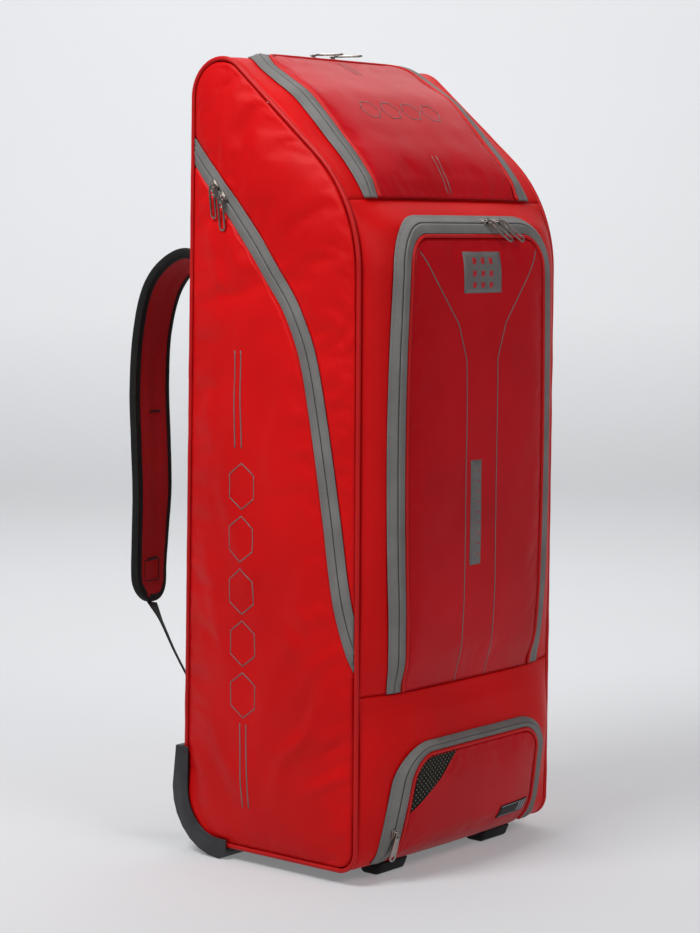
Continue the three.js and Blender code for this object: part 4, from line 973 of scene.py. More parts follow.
def makePocketTape(name, pocket):
    steps = 2 * pocket["rows"] + 120
    path = rimPath(pocket, steps)
    shares = tapeShares(tapeWidth)

    def place(u, w):
        across = shares[round(u * (len(shares) - 1))] * tapeWidth  # from the outer edge
        station = path[round(w * steps)]
        x, s = rimSpot(pocket, station, tapeWidth - across)
        outer = layerGap + bag["clothWall"]
        climb = smooth(across, 0, tapeWidth * 0.62)
        lift = mix(outer, innerLift(pocket, s), climb) + tapeProfile(across, tapeWidth)
        lift += 0.5 * noise.noise(Vector((x / 45, s / 45, pocket["seed"]))) * smooth(across, 0, 6)
        return stripPoint(x, s, lift)

    def uvAt(u, w):
        return shares[round(u * (len(shares) - 1))] * tapeWidth / 1000, path[round(w * steps)][4] / 1000

    bm = gridBmesh(len(shares) - 1, steps, place, uvAt)
    obj = thicken(newObject(name + "_zip", bm), tapeWall)
    return finish(obj, "bag", greyTape, [name + "_tape"])


def makePocketTrim(name, pocket):
    steps = 2 * pocket["rows"] + 100
    path = []
    ends = 2 if pocket["flare"] else 0  # the lower piping stops short of the toe's fold
    for station in rimPath(pocket, steps)[ends:steps + 1 - ends]:
        x, s = rimSpot(pocket, station, -trimRadius - layerGap)
        path.append(stripPoint(x, s, max(innerLift(pocket, s) - trimRadius / 2, layerGap + trimRadius) + 0.4))
    obj = newObject(name + "_trim", tube(path, trimRadius + 0.15, 10))
    return finish(obj, "bag", redPiping, [name + "_piping"])


def makePocketPanel(name, pocket):
    inset = 2 * (trimRadius + layerGap)
    inner, top = pocket["half"] - tapeWidth - inset, pocket["top"] - tapeWidth * pocket["head"] - inset
    corner = pocket["corner"] - tapeWidth - inset
    bottom = pocket["bottom"]

    def spot(u, w):  # a square grid drawn into the rounded corners
        bend = 0.5 - 0.5 * math.cos(math.pi * u)
        x, s = mix(-inner, inner, mix(u, bend, 0.3)), mix(bottom, top, w)
        over, up = (abs(x) - inner) / corner + 1, (s - top) / corner + 1
        edge = min(inner - abs(x), top - s, s - bottom + 4)
        if over > 0 and up > 0:
            over, up = over * math.sqrt(1 - up * up / 2), up * math.sqrt(1 - over * over / 2)
            edge = corner * (1 - math.hypot(over, up))
            x, s = math.copysign(inner + corner * (over - 1), x), top + corner * (up - 1)
        return x * bowAt(pocket, s), s, max(0, edge)

    def place(u, w):
        x, s, edge = spot(u, w)
        lift = panelLift(pocket, x, s) + seamRoll(edge, 1.0, 4) + relief((x, s, 0), edge, pocket["seed"], 0.8)
        return stripPoint(x, s, lift)

    def uvAt(u, w):
        x, s, _ = spot(u, w)
        return x / 1000, s / 1000

    bm = gridBmesh(72, pocket["rows"], place, uvAt)
    obj = newObject(name + "_cover", bm)
    seams = bmesh.new()
    seams.from_mesh(obj.data)
    pinned = {vertex.index for vertex in seams.verts if vertex.is_boundary}
    seams.free()
    puffCloth(obj, pinned, 0.8, pocket["cap"], frames=14, grow=pocket["grow"])
    tree = treeOf(obj)
    thicken(obj, bag["clothWall"])
    finish(obj, "bag", crimsonCoated, [name + "_panel"])
    return tree


covers = {}
for pocketName, pocketSpec in pockets.items():
    makePocketTape(pocketName, pocketSpec)
    makePocketTrim(pocketName, pocketSpec)
    covers[pocketName] = makePocketPanel(pocketName, pocketSpec)
print("pockets made")

# Flat patches and printed film that lie on a finished panel


def onPanel(tree, point, normal, lift):  # drop a point in mm onto a panel along its normal
    start = toFrame(*point) + normal * 0.02
    hit, hitNormal, _, _ = tree.ray_cast(start, -normal, 0.05)
    if hit is None:
        return toFrame(*point)
    return hit + normal * (lift / 1000)


def frontNormal(x, s):
    a, b = stripPoint(x - 2, s), stripPoint(x + 2, s)
    c, d = stripPoint(x, s - 2), stripPoint(x, s + 2)
    normal = (b - a).cross(d - c).normalized()
    _, _, ny, nz = outlineAt(s)
    return normal if normal.dot(Vector((0, ny, nz))) > 0 else -normal


def joinBmeshes(parts):
    whole = bmesh.new()
    for part in parts:
        mesh = bpy.data.meshes.new("part")
        part.to_mesh(mesh)
        part.free()
        whole.from_mesh(mesh)
        bpy.data.meshes.remove(mesh)
    return whole


def filmStrip(tree, a, b, width, lift, surface="front", step=6):
    # a straight strip of film from a to b on a panel; surface coordinates in mm
    run = math.hypot(b[0] - a[0], b[1] - a[1])
    rows = max(1, math.ceil(run / step))
    columns = max(1, math.ceil(width / step))
    nx, ns = -(b[1] - a[1]) / run, (b[0] - a[0]) / run
    bm = bmesh.new()
    bmesh.ops.create_grid(bm, x_segments=columns, y_segments=rows, size=1)
    for v in bm.verts:
        u, w = v.co.x / 2, (v.co.y + 1) / 2
        x, s = mix(a[0], b[0], w) + nx * u * width, mix(a[1], b[1], w) + ns * u * width
        if surface == "front":
            v.co = onPanel(tree, stripPoint(x, s, 8), frontNormal(x, s), lift)
        else:
            v.co = onPanel(tree, sidePoint(x, s, 3), Vector((-1, 0, 0)), lift)
    bmesh.ops.reverse_faces(bm, faces=bm.faces[:])
    return bm


def filmPath(tree, points, width, lift, surface="front"):
    return [filmStrip(tree, a, b, width, lift, surface) for a, b in zip(points, points[1:])]


def makeFilm(name, strips, material, wall=0.12):
    bm = joinBmeshes(strips)
    obj = thicken(newObject(name, bm), wall, offset=0)
    return finish(obj, "bag", material)


def hexagon(centre, wide, tall):
    x, s = centre
    return [(x - wide / 2, s), (x - wide * 0.25, s + tall / 2), (x + wide * 0.25, s + tall / 2),
            (x + wide / 2, s), (x + wide * 0.25, s - tall / 2), (x - wide * 0.25, s - tall / 2),
            (x - wide / 2, s)]


tallPrint = {"line": 1.5, "film": 0.25, "vee": [(114, 729), (45, 645), (30, 603), (29, 223)],
             "square": (36, 703), "bar": (-10, 361, 485, 21), "marks": 0.39}


def makeTallPrint():
    tree = covers["tall_pocket"]
    strips = []
    for side in (-1, 1):
        points = [(side * x, frontAt(z)) for x, z in tallPrint["vee"]]
        strips += filmPath(tree, points, tallPrint["line"], tallPrint["film"])
    centreX, low, high, wide = tallPrint["bar"]
    strips.append(filmStrip(tree, (centreX, frontAt(low)), (centreX, frontAt(high)), wide, tallPrint["film"]))
    reach, height = tallPrint["square"]
    s = frontAt(height)
    strips.append(filmStrip(tree, (0, s - reach * 0.62), (0, s + reach * 0.62), reach * 2, tallPrint["film"]))
    makeFilm("tall_print", strips, printFilm)
    dots = []
    for i in (-1, 0, 1):
        for j in (-1, 0, 1):
            x, at = i * 16, s + j * 13
            dots.append(filmStrip(tree, (x, at - 3.2), (x, at + 3.2), 6.4, tallPrint["marks"], step=3))
    for k in range(9):
        at = frontAt(low + (high - low) * (0.1 + 0.1 * k))
        dots.append(filmStrip(tree, (centreX + 3, at), (centreX + 8, at), 1.2, tallPrint["marks"], step=3))
    makeFilm("tall_print_marks", dots, redFilm)


lidPrint = {"line": 1.5, "hexLine": 1.1, "film": 0.25, "hexWide": 32, "hexTall": 26, "hexStep": 38}


def makeLidPrint():
    tree = covers["lid"]
    top, bottom = pockets["lid"]["top"] - 38, pockets["lid"]["bottom"] + 6
    strips = []
    for x in (-4, 4):
        strips += filmPath(tree, [(x, top), (x, top - 34)], lidPrint["line"], lidPrint["film"])
        strips += filmPath(tree, [(x, bottom), (x, bottom + 48)], lidPrint["line"], lidPrint["film"])
    middle = mix(top, bottom, 0.48)
    for i in (-1.5, -0.5, 0.5, 1.5):
        spots = hexagon((i * lidPrint["hexStep"], middle), lidPrint["hexWide"], lidPrint["hexTall"])
        strips += filmPath(tree, spots, lidPrint["hexLine"], lidPrint["film"])
    makeFilm("lid_print", strips, printFilm)


sidePrint = {"line": 1.7, "hexLine": 1.3, "film": 0.25, "upper": (41, 31, 614, 500),
             "lower": (36, 26, 173, 71), "hexAt": 31, "hexFrom": 455, "hexStep": -62, "hexHalf": 19,
             "hexUp": 27}


def makeSidePrint():
    tree = treeOf(bpy.data.objects["side_cloth_left"])
    strips = []
    for y1, y2, high, low in (sidePrint["upper"], sidePrint["lower"]):
        for y in (y1, y2):
            strips += filmPath(tree, [(y, low), (y, high)], sidePrint["line"], sidePrint["film"], "side")
    for i in range(5):
        x, s = sidePrint["hexAt"], sidePrint["hexFrom"] + i * sidePrint["hexStep"]
        wide, tall = sidePrint["hexHalf"], sidePrint["hexUp"]
        spots = [(x - wide, s - tall * 0.5), (x - wide, s + tall * 0.5), (x, s + tall),
                 (x + wide, s + tall * 0.5), (x + wide, s - tall * 0.5), (x, s - tall),
                 (x - wide, s - tall * 0.5)]
        strips += filmPath(tree, spots, sidePrint["hexLine"], sidePrint["film"], "side")
    makeFilm("side_print", strips, printFilm)


makeTallPrint()
makeLidPrint()
makeSidePrint()

lowerTrim = {"ventReach": 70, "wall": 1.0, "labelX": 82, "labelLong": 58, "labelTall": 16, "labelFoot": 20,
             "slant": 2}


def patchPoint(x, s, lift):
    return onPanel(covers["lower_pocket"], stripPoint(x, s, 10), frontNormal(x, s), lift)


def makeLowerTrim():
    pocket = pockets["lower_pocket"]
    inset = 2 * (trimRadius + layerGap) + 1
    inner, top = pocket["half"] - tapeWidth - inset, pocket["top"] - tapeWidth * pocket["head"] - inset
    corner = pocket["corner"] - tapeWidth - inset
    foot = (-inner, top - lowerTrim["ventReach"] + 6)
    head = (-inner + lowerTrim["ventReach"], top)
    rim = [(-inner, mix(foot[1], top - corner, i / 8)) for i in range(9)]
    for i in range(1, 9):
        angle = math.pi - i / 8 * math.pi / 2
        rim.append((-inner + corner + corner * math.cos(angle), top - corner + corner * math.sin(angle)))
    rim += [(mix(-inner + corner, head[0], i / 8), top) for i in range(1, 9)]
    count = len(rim) - 1

    def spot(u, w):  # from the rim, at u = 0, to the slanted seam
        a = rim[round(w * count)]
        b = (mix(foot[0], head[0], w), mix(foot[1], head[1], w))
        s = mix(a[1], b[1], u)
        return mix(a[0], b[0], u) * bowAt(pocket, s), s

    bm = bmesh.new()
    uvLayer = bm.loops.layers.uv.new("cloth")
    bmesh.ops.create_grid(bm, x_segments=12, y_segments=count, size=1)
    spots = {v: spot((v.co.x + 1) / 2, (v.co.y + 1) / 2) for v in bm.verts}
    for face in bm.faces:
        for loop in face.loops:
            loop[uvLayer].uv = (spots[loop.vert][0] / 1000, spots[loop.vert][1] / 1000)
    for v, (x, s) in spots.items():
        v.co = patchPoint(x, s, lowerTrim["wall"] * 0.8)
    obj = thicken(newObject("vent_patch", bm), lowerTrim["wall"])
    finish(obj, "bag", ventMesh, ["lower_pocket_vent"])

    edge = [patchPoint(*spot(1, i / 30), 0.9) for i in range(31)]
    back = [Vector(((p.x - shiftX) * 1000, (p.y - shiftY) * 1000, p.z * 1000)) for p in edge]
    finish(newObject("vent_seam", tube(back, 0.9, 8)), "bag", redPiping)

    low = pocket["bottom"] + lowerTrim["labelFoot"]
    slant, wide, tall = lowerTrim["slant"], lowerTrim["labelLong"], lowerTrim["labelTall"]

    def labelPart(left, right, bottom, high, lift):
        bm = bmesh.new()
        bmesh.ops.create_grid(bm, x_segments=14, y_segments=6, size=1)
        for v in bm.verts:
            u, w = (v.co.x + 1) / 2, (v.co.y + 1) / 2
            at = mix(bottom, high, w)
            x = lowerTrim["labelX"] + (mix(left, right, u) - 0.5) * wide + slant * (at - 0.5)
            v.co = patchPoint(x, low + at * tall, lift)
        return bm

    label = thicken(newObject("label_patch", labelPart(0, 1, 0, 1, 1.0)), 0.9)
    finish(label, "bag", labelBlack, ["lower_pocket_label"])
    stripes = [labelPart(0.7 + 0.1 * i, 0.75 + 0.1 * i, 0.06, 0.94, 1.15) for i in range(3)]
    stripes.append(labelPart(0.03, 0.66, 0.06, 0.12, 1.15))
    stripes.append(labelPart(0.03, 0.66, 0.88, 0.94, 1.15))
    makeFilm("label_marks", stripes, labelGrey, wall=0.2)


makeLowerTrim()
print("prints and patches made")

# Sliders and pulls

slider = {"long": 13, "wide": 9, "high": 5, "bar": 11}
sliderRows = [
    ("side_zip", 1, 0.844, 225, 180, 6), ("side_zip", 2, 0.829, 225, 180, 6),
    ("tall_pocket", 1, 0.153, 90, 137, 0), ("tall_pocket", 2, 0.3, 90, 137, 0),
    ("lid", 1, -0.09, 90, 118, 0), ("lid", 2, 0.14, 90, 118, 0),
    ("lower_pocket", 0, 0.061, 180, 180, 4),
]


def surfaceFrame(surface, u, v, lift, angle):
    origin = surface(u, v, lift)
    across = (surface(u + 2, v, lift) - surface(u - 2, v, lift)).normalized()
    along = (surface(u, v + 2, lift) - surface(u, v - 2, lift)).normalized()
    normal = across.cross(along).normalized()
    if normal.dot(surface(u, v, lift + 2) - origin) < 0:
        normal.negate()
    turn = math.radians(angle)
    forward = along * math.cos(turn) + across * math.sin(turn)
    forward = (forward - normal * forward.dot(normal)).normalized()
    side = forward.cross(normal)
    scale = 0.001
    return Matrix((
        (side.x * scale, forward.x * scale, normal.x * scale, origin.x * scale + shiftX),
        (side.y * scale, forward.y * scale, normal.y * scale, origin.y * scale + shiftY),
        (side.z * scale, forward.z * scale, normal.z * scale, origin.z * scale),
        (0, 0, 0, 1),
    ))


def block(size, centre, taper=1.0):
    bm = bmesh.new()
    bmesh.ops.create_cube(bm, size=1)
    bmesh.ops.scale(bm, vec=size, verts=bm.verts[:])
    for v in bm.verts:
        if v.co.y > 0:
            v.co.x *= taper
    bmesh.ops.bevel(bm, geom=bm.edges[:], offset=min(size) * 0.22, segments=2, affect="EDGES", profile=0.5,
                    material=-1)
    bmesh.ops.translate(bm, vec=centre, verts=bm.verts[:])
    return bm


def localTube(points, radius, closed=False, sides=8):  # a wire in a part's own mm
    bm = tube([Vector(p) for p in points], radius, sides, closed=closed)
    back = Matrix.Translation((-shiftX * 1000, -shiftY * 1000, 0)) @ Matrix.Scale(1000, 4)
    bmesh.ops.transform(bm, matrix=back, verts=bm.verts[:])
    return bm


def oval(halfWide, near, far, height, steps=10):
    points = []
    for k in range(steps + 1):
        angle = math.pi + math.pi * k / steps
        points.append((halfWide * math.cos(angle), near + halfWide + halfWide * math.sin(angle), height))
    for k in range(steps + 1):
        angle = math.pi * k / steps
        points.append((halfWide * math.cos(angle), far - halfWide + halfWide * math.sin(angle), height))
    points.append(points[0])
    return points


def sliderParts():
    long, wide, high = slider["long"], slider["wide"], slider["high"]
    lower = block((wide, long, 2.0), (0, 0, 1.2), 0.8)
    upper = block((wide * 0.78, long * 0.8, 1.4), (0, 0, 3.0), 0.75)
    arch = [(0, -long * 0.34, 3.2), (0, -long * 0.26, high - 0.3), (0, -1, high + 0.5),
            (0, long * 0.2, high + 0.2), (0, long * 0.32, 3.2)]
    return joinBmeshes([lower, upper, localTube(arch, 0.9)])


def pullLink(tab):  # the ring that joins a pull to its slider, and the bar across a framed pull
    base = slider["high"] + 0.8
    link = localTube(oval(2.1, -3.4, 4.6 if tab else 6.4, base + 0.8, 6), 0.75, closed=True, sides=10)
    if tab:
        return link
    bar = localTube([(-3.4, slider["bar"], base + 0.8), (3.4, slider["bar"], base + 0.8)], 0.8, sides=10)
    return joinBmeshes([link, bar])


def makeSliders():
    for zipName, number, share, turn, hang, drop in sliderRows:
        middle = tapeWidth / 2
        if zipName == "side_zip":
            z = share * bag["height"]
            surface, u, v, lift = sidePoint, zipCentre(z), z, 0.1
        elif zipName == "lower_pocket":
            pocket = pockets[zipName]
            v = frontAt(share * bag["height"])
            u = -(pocket["half"] - middle) * bowAt(pocket, v)
            surface, lift = stripPoint, mix(2.4, innerLift(pocket, v), 0.8)
        else:
            pocket = pockets[zipName]
            v = pocket["top"] - middle
            surface, u, lift = stripPoint, share * pocket["half"], mix(2.4, innerLift(pocket, v), 0.8)
        suffix = f"_{number}" if number else ""
        body = sliderParts()
        bmesh.ops.transform(body, matrix=surfaceFrame(surface, u, v, lift, turn), verts=body.verts[:])
        runner = newObject(f"{zipName}_runner{suffix}", body)
        finish(runner, "bag", nickel, [f"{zipName}_slider{suffix}"])
        pullNode = f"{zipName}_pull{suffix}"
        pull = bevelEdges(newObject(f"{zipName}_tab{suffix}", copyNode(pullNode)), 0.4, 3, 50)
        finish(pull, "bag", nickel, [pullNode])
        link = pullLink(zipName == "lower_pocket")
        tip = Matrix.Rotation(-math.radians(drop), 4, "X")
        bmesh.ops.transform(link, matrix=surfaceFrame(surface, u, v, lift, hang) @ tip, verts=link.verts[:])
        finish(newObject(f"{zipName}_link{suffix}", link), "bag", nickel)


makeSliders()
print("sliders made")

# Straps, yoke and handle on the back

strap = {"reach": 143, "top": 0.761, "end": 0.296, "anchor": 0.163, "spacing": 0.535, "width": 66, "wall": 9,
         "stub": 14, "yokeWall": 14, "bindingWall": 2.6, "bindingDepth": 13, "webbingWidth": 25,
         "webbingWall": 1.6, "seat": 20, "pressure": 4.0, "cap": 0.0014, "voxel": 0.0045}
strapRows = [(0.42, 0, 0), (0.67, 0.03, 3), (0.88, 0.1, 5), (1.0, 0.22, 4), (1.035, 0.38, 3), (1.01, 0.54, 3),
             (0.99, 0.68, 4), (1.01, 0.82, 7), (1.02, 0.93, 10), (0.98, 1, 13)]
webbingRows = [(0.84, 0.22, 38), (0.67, 0.5, 40), (0.47, 0.76, 40), (0.22, 0.93, 34)]
strapTop, strapEnd, strapAnchor = (strap[k] * bag["height"] for k in ("top", "end", "anchor"))
strapSpacing = strap["spacing"] * bag["width"]


def strapRoute(rows, top, bottom):
    points = []
    for out, up, _ in rows:
        z = top - up * (top - bottom)
        points.append(Vector((0, outlineAt(backAt(z))[0] + bag["backFill"] + out * strap["reach"], z)))
    return points


def catmull(points, samples=400):  # centripetal curve through the points, as evenly spaced samples
    dense = []
    count = len(points) - 1
    for i in range(count):
        p1, p2 = points[i], points[i + 1]
        p0 = points[i - 1] if i > 0 else p1 * 2 - p2
        p3 = points[i + 2] if i + 2 <= count else p2 * 2 - p1
        d0, d1, d2 = ((a - b).length ** 0.5 for a, b in ((p1, p0), (p2, p1), (p3, p2)))
        t1 = ((p1 - p0) / d0 - (p2 - p0) / (d0 + d1) + (p2 - p1) / d1) * d1
        t2 = ((p2 - p1) / d1 - (p3 - p1) / (d1 + d2) + (p3 - p2) / d2) * d1
        for k in range(24):
            t = k / 24
            a, b = t * t * t, t * t
            held = p1 * (2 * a - 3 * b + 1) + t1 * (a - 2 * b + t)
            dense.append(held + p2 * (3 * b - 2 * a) + t2 * (a - b))
    dense.append(points[-1].copy())
    run = [0.0]
    for a, b in zip(dense, dense[1:]):
        run.append(run[-1] + (b - a).length)
    even, k = [], 0
    for i in range(samples + 1):
        d = run[-1] * i / samples
        while k < len(run) - 2 and run[k + 1] < d:
            k += 1
        t = (d - run[k]) / max(1e-9, run[k + 1] - run[k])
        even.append(dense[k].lerp(dense[k + 1], clamp(t)))
    return even, run[-1]


def bandSurface(points, twists, centreX):
    even, length = catmull(points)
    last = len(even) - 1
    spots = [(i / (len(twists) - 1), twist) for i, twist in enumerate(twists)]

    def surface(x, s, lift):
        t = clamp(s / length)
        at = t * last
        i = min(last - 1, int(at))
        centre = even[i].lerp(even[i + 1], at - i)
        a, b = even[max(0, i - 3)], even[min(last, i + 4)]
        along = (b - a).normalized()
        over = s - length if s > length else min(0, s)
        outward = Vector((1, 0, 0)).cross(along)
        twist = math.radians(rowValue(spots, t))
        sideways = Vector((1, 0, 0)) * math.cos(twist) + outward * math.sin(twist)
        up = outward * math.cos(twist) - Vector((1, 0, 0)) * math.sin(twist)
        return centre + along * over + sideways * x + up * lift + Vector((centreX, 0, 0))

    return surface, length


def strapPoints():
    height = strapTop - strap["wall"]
    nearest = (strapSpacing - strap["width"]) / 2
    face = stripPoint(nearest, backAt(height - strap["bindingDepth"]), layerGap + strap["yokeWall"]).y
    root = [Vector((0, face + out, height)) for out in (layerGap, strap["stub"])]
    return root + strapRoute(strapRows, strapTop, strapEnd)


strapTwists = [0, 0] + [row[2] for row in strapRows]
strapSurface, strapLength = bandSurface(strapPoints(), strapTwists, -strapSpacing / 2)


def strapHalfAt(s, inset):  # half width along the strap, rounded at the tip
    reach = strap["width"] / 2 - inset
    end = strapLength - inset
    corner = reach - 2
    over = s - (end - corner)
    if over <= 0:
        return reach
    return 2 + corner * math.sqrt(max(0, 1 - min(1, over / corner) ** 2))


def mirrorBm(bm):  # the other strap: mirrored about the bag's middle
    bmesh.ops.translate(bm, vec=(-shiftX, 0, 0), verts=bm.verts[:])
    bmesh.ops.scale(bm, vec=(-1, 1, 1), verts=bm.verts[:])
    bmesh.ops.translate(bm, vec=(shiftX, 0, 0), verts=bm.verts[:])
    bmesh.ops.reverse_faces(bm, faces=bm.faces[:])
    return bm


def padThickness(x):
    return strap["wall"] * (0.72 + 0.28 * (1 - min(1, abs(x) / 30) ** 2))


def makePad(name, side):
    inset = strap["bindingWall"] + 0.8
    rows, ring = 130, 36
    rim = strapLength - inset

    def place(u, w):
        s = mix(1.5, rim - 0.3, w if w < 0.9 else 0.9 + 0.1 * math.sin((w - 0.9) / 0.1 * math.pi / 2))
        reach = strapHalfAt(s, inset)
        angle = 2 * math.pi * u
        c, n = math.cos(angle), math.sin(angle)
        x = reach * math.copysign(abs(c) ** 0.45, c)
        thick = padThickness(x) * 0.5 - 0.6
        lift = thick * math.copysign(abs(n) ** 0.6, n)
        return strapSurface(x, s, lift)

    def uvAt(u, w):
        return u * 0.13, w * strapLength / 1000

    bm = gridBmesh(ring, rows, place, uvAt)
    weld(bm)
    bmesh.ops.holes_fill(bm, edges=[e for e in bm.edges if e.is_boundary], sides=ring + 2)
    bmesh.ops.recalc_face_normals(bm, faces=bm.faces[:])
    if side > 0:
        mirrorBm(bm)
    obj = newObject(name, bm)
    remesh = obj.modifiers.new("voxels", "REMESH")
    remesh.mode = "VOXEL"
    remesh.voxel_size = strap["voxel"]
    evaluated = obj.evaluated_get(bpy.context.evaluated_depsgraph_get())
    fresh = bpy.data.meshes.new_from_object(evaluated)
    obj.modifiers.clear()
    obj.data = fresh
    puffCloth(obj, (), strap["pressure"], strap["cap"])
    for face in obj.data.polygons:
        face.use_smooth = True
    smoothOver(obj)
    finish(obj, "bag", padCloth, ["strap_pad_left" if side < 0 else "strap_pad_right"])


def objectClothMaterial(name, main, deep):  # cloth for a remeshed piece: its weave reads object coordinates
    shade = Shade(name, 0.45)
    x, _, z = shade.axes(shade.object)
    base = shade.ramp(shade.noise(60, 3), [(0.3, colour(deep)), (0.7, colour(main))])
    height = shade.math("MULTIPLY", shade.ridges(x, 1.1), shade.ridges(z, 1.1))
    return shade.done(base, None, shade.bump(height, 0.08, 0.6))


padCloth = objectClothMaterial("pad_cloth", "cb1c1b", "b31416")
makePad("pad_left", -1)
makePad("pad_right", 1)
print("pads made")


def makeStrapMesh(name, side):
    inset = strap["bindingWall"] + 0.6
    rim = strapLength - inset

    def place(u, w):
        s = mix(1, rim - 0.4, w)
        x = mix(-1, 1, u) * strapHalfAt(s, inset)
        hollow = 1.3 * math.exp(-((x - 2) / 9) ** 2) + 0.5 * noise.noise(Vector((x / 14, s / 40, 3)))
        return strapSurface(x, s, -padThickness(x) * 0.5 - 1.6 + hollow)

    def uvAt(u, w):
        s = mix(1, rim, w)
        return mix(-1, 1, u) * strapHalfAt(s, inset) / 1000, s / 1000

    bm = gridBmesh(26, 150, place, uvAt)
    if side > 0:
        mirrorBm(bm)
    obj = thicken(newObject(name, bm), 1.6, offset=0)
    finish(obj, "bag", spacerMesh, ["strap_mesh_left" if side < 0 else "strap_mesh_right"])


def makeStitches(name, side):  # a bar and a stitched box that hold the mesh to the pad
    box = {"low": 55, "high": 27, "left": -18, "right": 13, "wide": 1.4, "bar": 244}
    lows = strapLength - box["low"], strapLength - box["high"]
    corners = [(box["left"], lows[0]), (box["right"], lows[0]), (box["right"], lows[1]),
               (box["left"], lows[1])]
    lines = [(a, b, box["wide"]) for a, b in zip(corners, corners[1:] + corners[:1])]
    lines.append(((-12, lows[0] - 1.5), (8, lows[0] - 1.5), 3.4))
    bar = strapLength - box["bar"]
    lines.append(((-7, bar), (13, bar), 3.0))
    parts = []
    for a, b, wide in lines:
        run = math.hypot(b[0] - a[0], b[1] - a[1])
        bm = bmesh.new()
        bmesh.ops.create_grid(bm, x_segments=1, y_segments=8, size=1)
        for v in bm.verts:
            u, w = v.co.x / 2 * wide, (v.co.y + 1) / 2
            x = mix(a[0], b[0], w) - u * (b[1] - a[1]) / run
            s = mix(a[1], b[1], w) + u * (b[0] - a[0]) / run
            spot = strapSurface(x, s, -padThickness(x) * 0.5 - 2.1)
            v.co = toFrame(spot.x, spot.y, spot.z)
        parts.append(bm)
    bm = joinBmeshes(parts)
    if side > 0:
        mirrorBm(bm)
    return finish(thicken(newObject(name, bm), 0.9, offset=0), "bag", stitchThread)


def makeBinding(name, side):
    steps = 260
    path = archPath(strap["width"] / 2, strap["width"] / 2 - 2, 0, strapLength, steps)
    profile = [(-9, 4.9), (-8.2, 5.4), (-4, 5.6), (-1.4, 5.2), (-0.2, 3.4), (0.2, 0), (-0.2, -3.6),
               (-1.4, -5.6), (-4, -6.2), (-8.2, -6.2), (-9, -5.7)]
    reach = [0.0]
    for a, b in zip(profile, profile[1:]):
        reach.append(reach[-1] + math.hypot(b[0] - a[0], b[1] - a[1]))

    def place(u, w):
        offset, lift = profile[round(u * (len(profile) - 1))]
        x, s, nx, ns, d = path[round(w * steps)]
        ripple = 0.25 * noise.noise(Vector((d / 9, u * 3, 0)))
        return strapSurface(x + nx * offset, s + ns * offset, lift + ripple)

    def uvAt(u, w):
        return reach[round(u * (len(profile) - 1))] / 1000, path[round(w * steps)][4] / 1000

    bm = gridBmesh(len(profile) - 1, steps, place, uvAt)
    if side > 0:
        mirrorBm(bm)
    obj = smoothOver(thicken(newObject(name, bm), 0.9, offset=0))
    finish(obj, "bag", blackBinding, ["strap_binding_left" if side < 0 else "strap_binding_right"])


def makeWebbing(name, side):
    tip, before = strapPoints()[-1], strapPoints()[-2]
    start = tip + (tip - before).normalized() * (layerGap + strap["webbingWall"] / 2)
    seat = backAt(strapAnchor)
    seated = []
    for s in (seat, seat + strap["seat"] / 4, seat + strap["seat"]):
        spot = stripPoint(-strapSpacing / 2, s, layerGap + strap["webbingWall"] / 2)
        seated.append(Vector((0, spot.y, spot.z)))
    points = [start] + strapRoute(webbingRows, strapEnd, strapAnchor) + seated
    twists = [20] + [row[2] for row in webbingRows] + [0, 0, 0]
    surface, length = bandSurface(points, twists, -strapSpacing / 2)
    wide = strap["webbingWidth"]

    def place(u, w):
        return surface((u - 0.5) * wide, w * length, 0)

    def uvAt(u, w):
        return u * wide / 1000, w * length / 1000

    bm = gridBmesh(6, 90, place, uvAt)
    if side > 0:
        mirrorBm(bm)
    obj = thicken(newObject(name, bm), strap["webbingWall"], offset=0)
    finish(obj, "bag", blackWebbing, ["strap_webbing_left" if side < 0 else "strap_webbing_right"])


for strapSide, strapWord in ((-1, "left"), (1, "right")):
    makeStrapMesh(f"pad_mesh_{strapWord}", strapSide)
    makeStitches(f"pad_stitches_{strapWord}", strapSide)
    makeBinding(f"pad_binding_{strapWord}", strapSide)
    makeWebbing(f"tail_{strapWord}", strapSide)
print("straps made")

backBands = {"yokeHeight": 0.974 * strapTop, "yokeWidth": 50, "yokeEnd": 2,
             "handleHeight": 0.913 * bag["height"], "handleWidth": 33, "handleWall": 3, "handleReach": 27}


def makeBackBand(name, node, height, width, wallAt, liftAt, soft):
    s = backAt(height)

    def place(u, w):
        share = math.sin((u - 0.5) * math.pi)
        x = share * (stripHalf - bag["rimGap"])
        angle = 2 * math.pi * w
        c, n = math.cos(angle), math.sin(angle)
        across = math.copysign(abs(c) ** soft, c) * width / 2
        wall = wallAt(share)
        lift = liftAt(share) + wall / 2 + math.copysign(abs(n) ** 0.7, n) * wall / 2
        return stripPoint(x, s + across, lift)

    def uvAt(u, w):
        return w * 2 * width / 1000, u * 0.38

    bm = gridBmesh(90, 28, place, uvAt)
    weld(bm)
    for side in (-1, 1):
        ends = [e for e in bm.edges if e.is_boundary and (e.verts[0].co.x - shiftX) * side > 0]
        if ends:
            bmesh.ops.holes_fill(bm, edges=ends, sides=40)
    bmesh.ops.recalc_face_normals(bm, faces=bm.faces[:])
    return finish(newObject(name, bm), "bag", blackWebbing, [node])


def yokeWallAt(share):
    return mix(backBands["yokeEnd"], strap["yokeWall"], min(1, (1 - abs(share)) * 12)) - 0.2


makeBackBand("back_yoke", "strap_yoke", backBands["yokeHeight"], backBands["yokeWidth"], yokeWallAt,
             lambda share: layerGap, 0.25)
makeBackBand("top_handle", "haul_handle", backBands["handleHeight"], backBands["handleWidth"],
             lambda share: backBands["handleWall"],
             lambda share: layerGap + backBands["handleReach"] * max(0, 1 - abs(share) ** 3) ** 0.6, 0.3)

# Moulded guard, wheels and feet


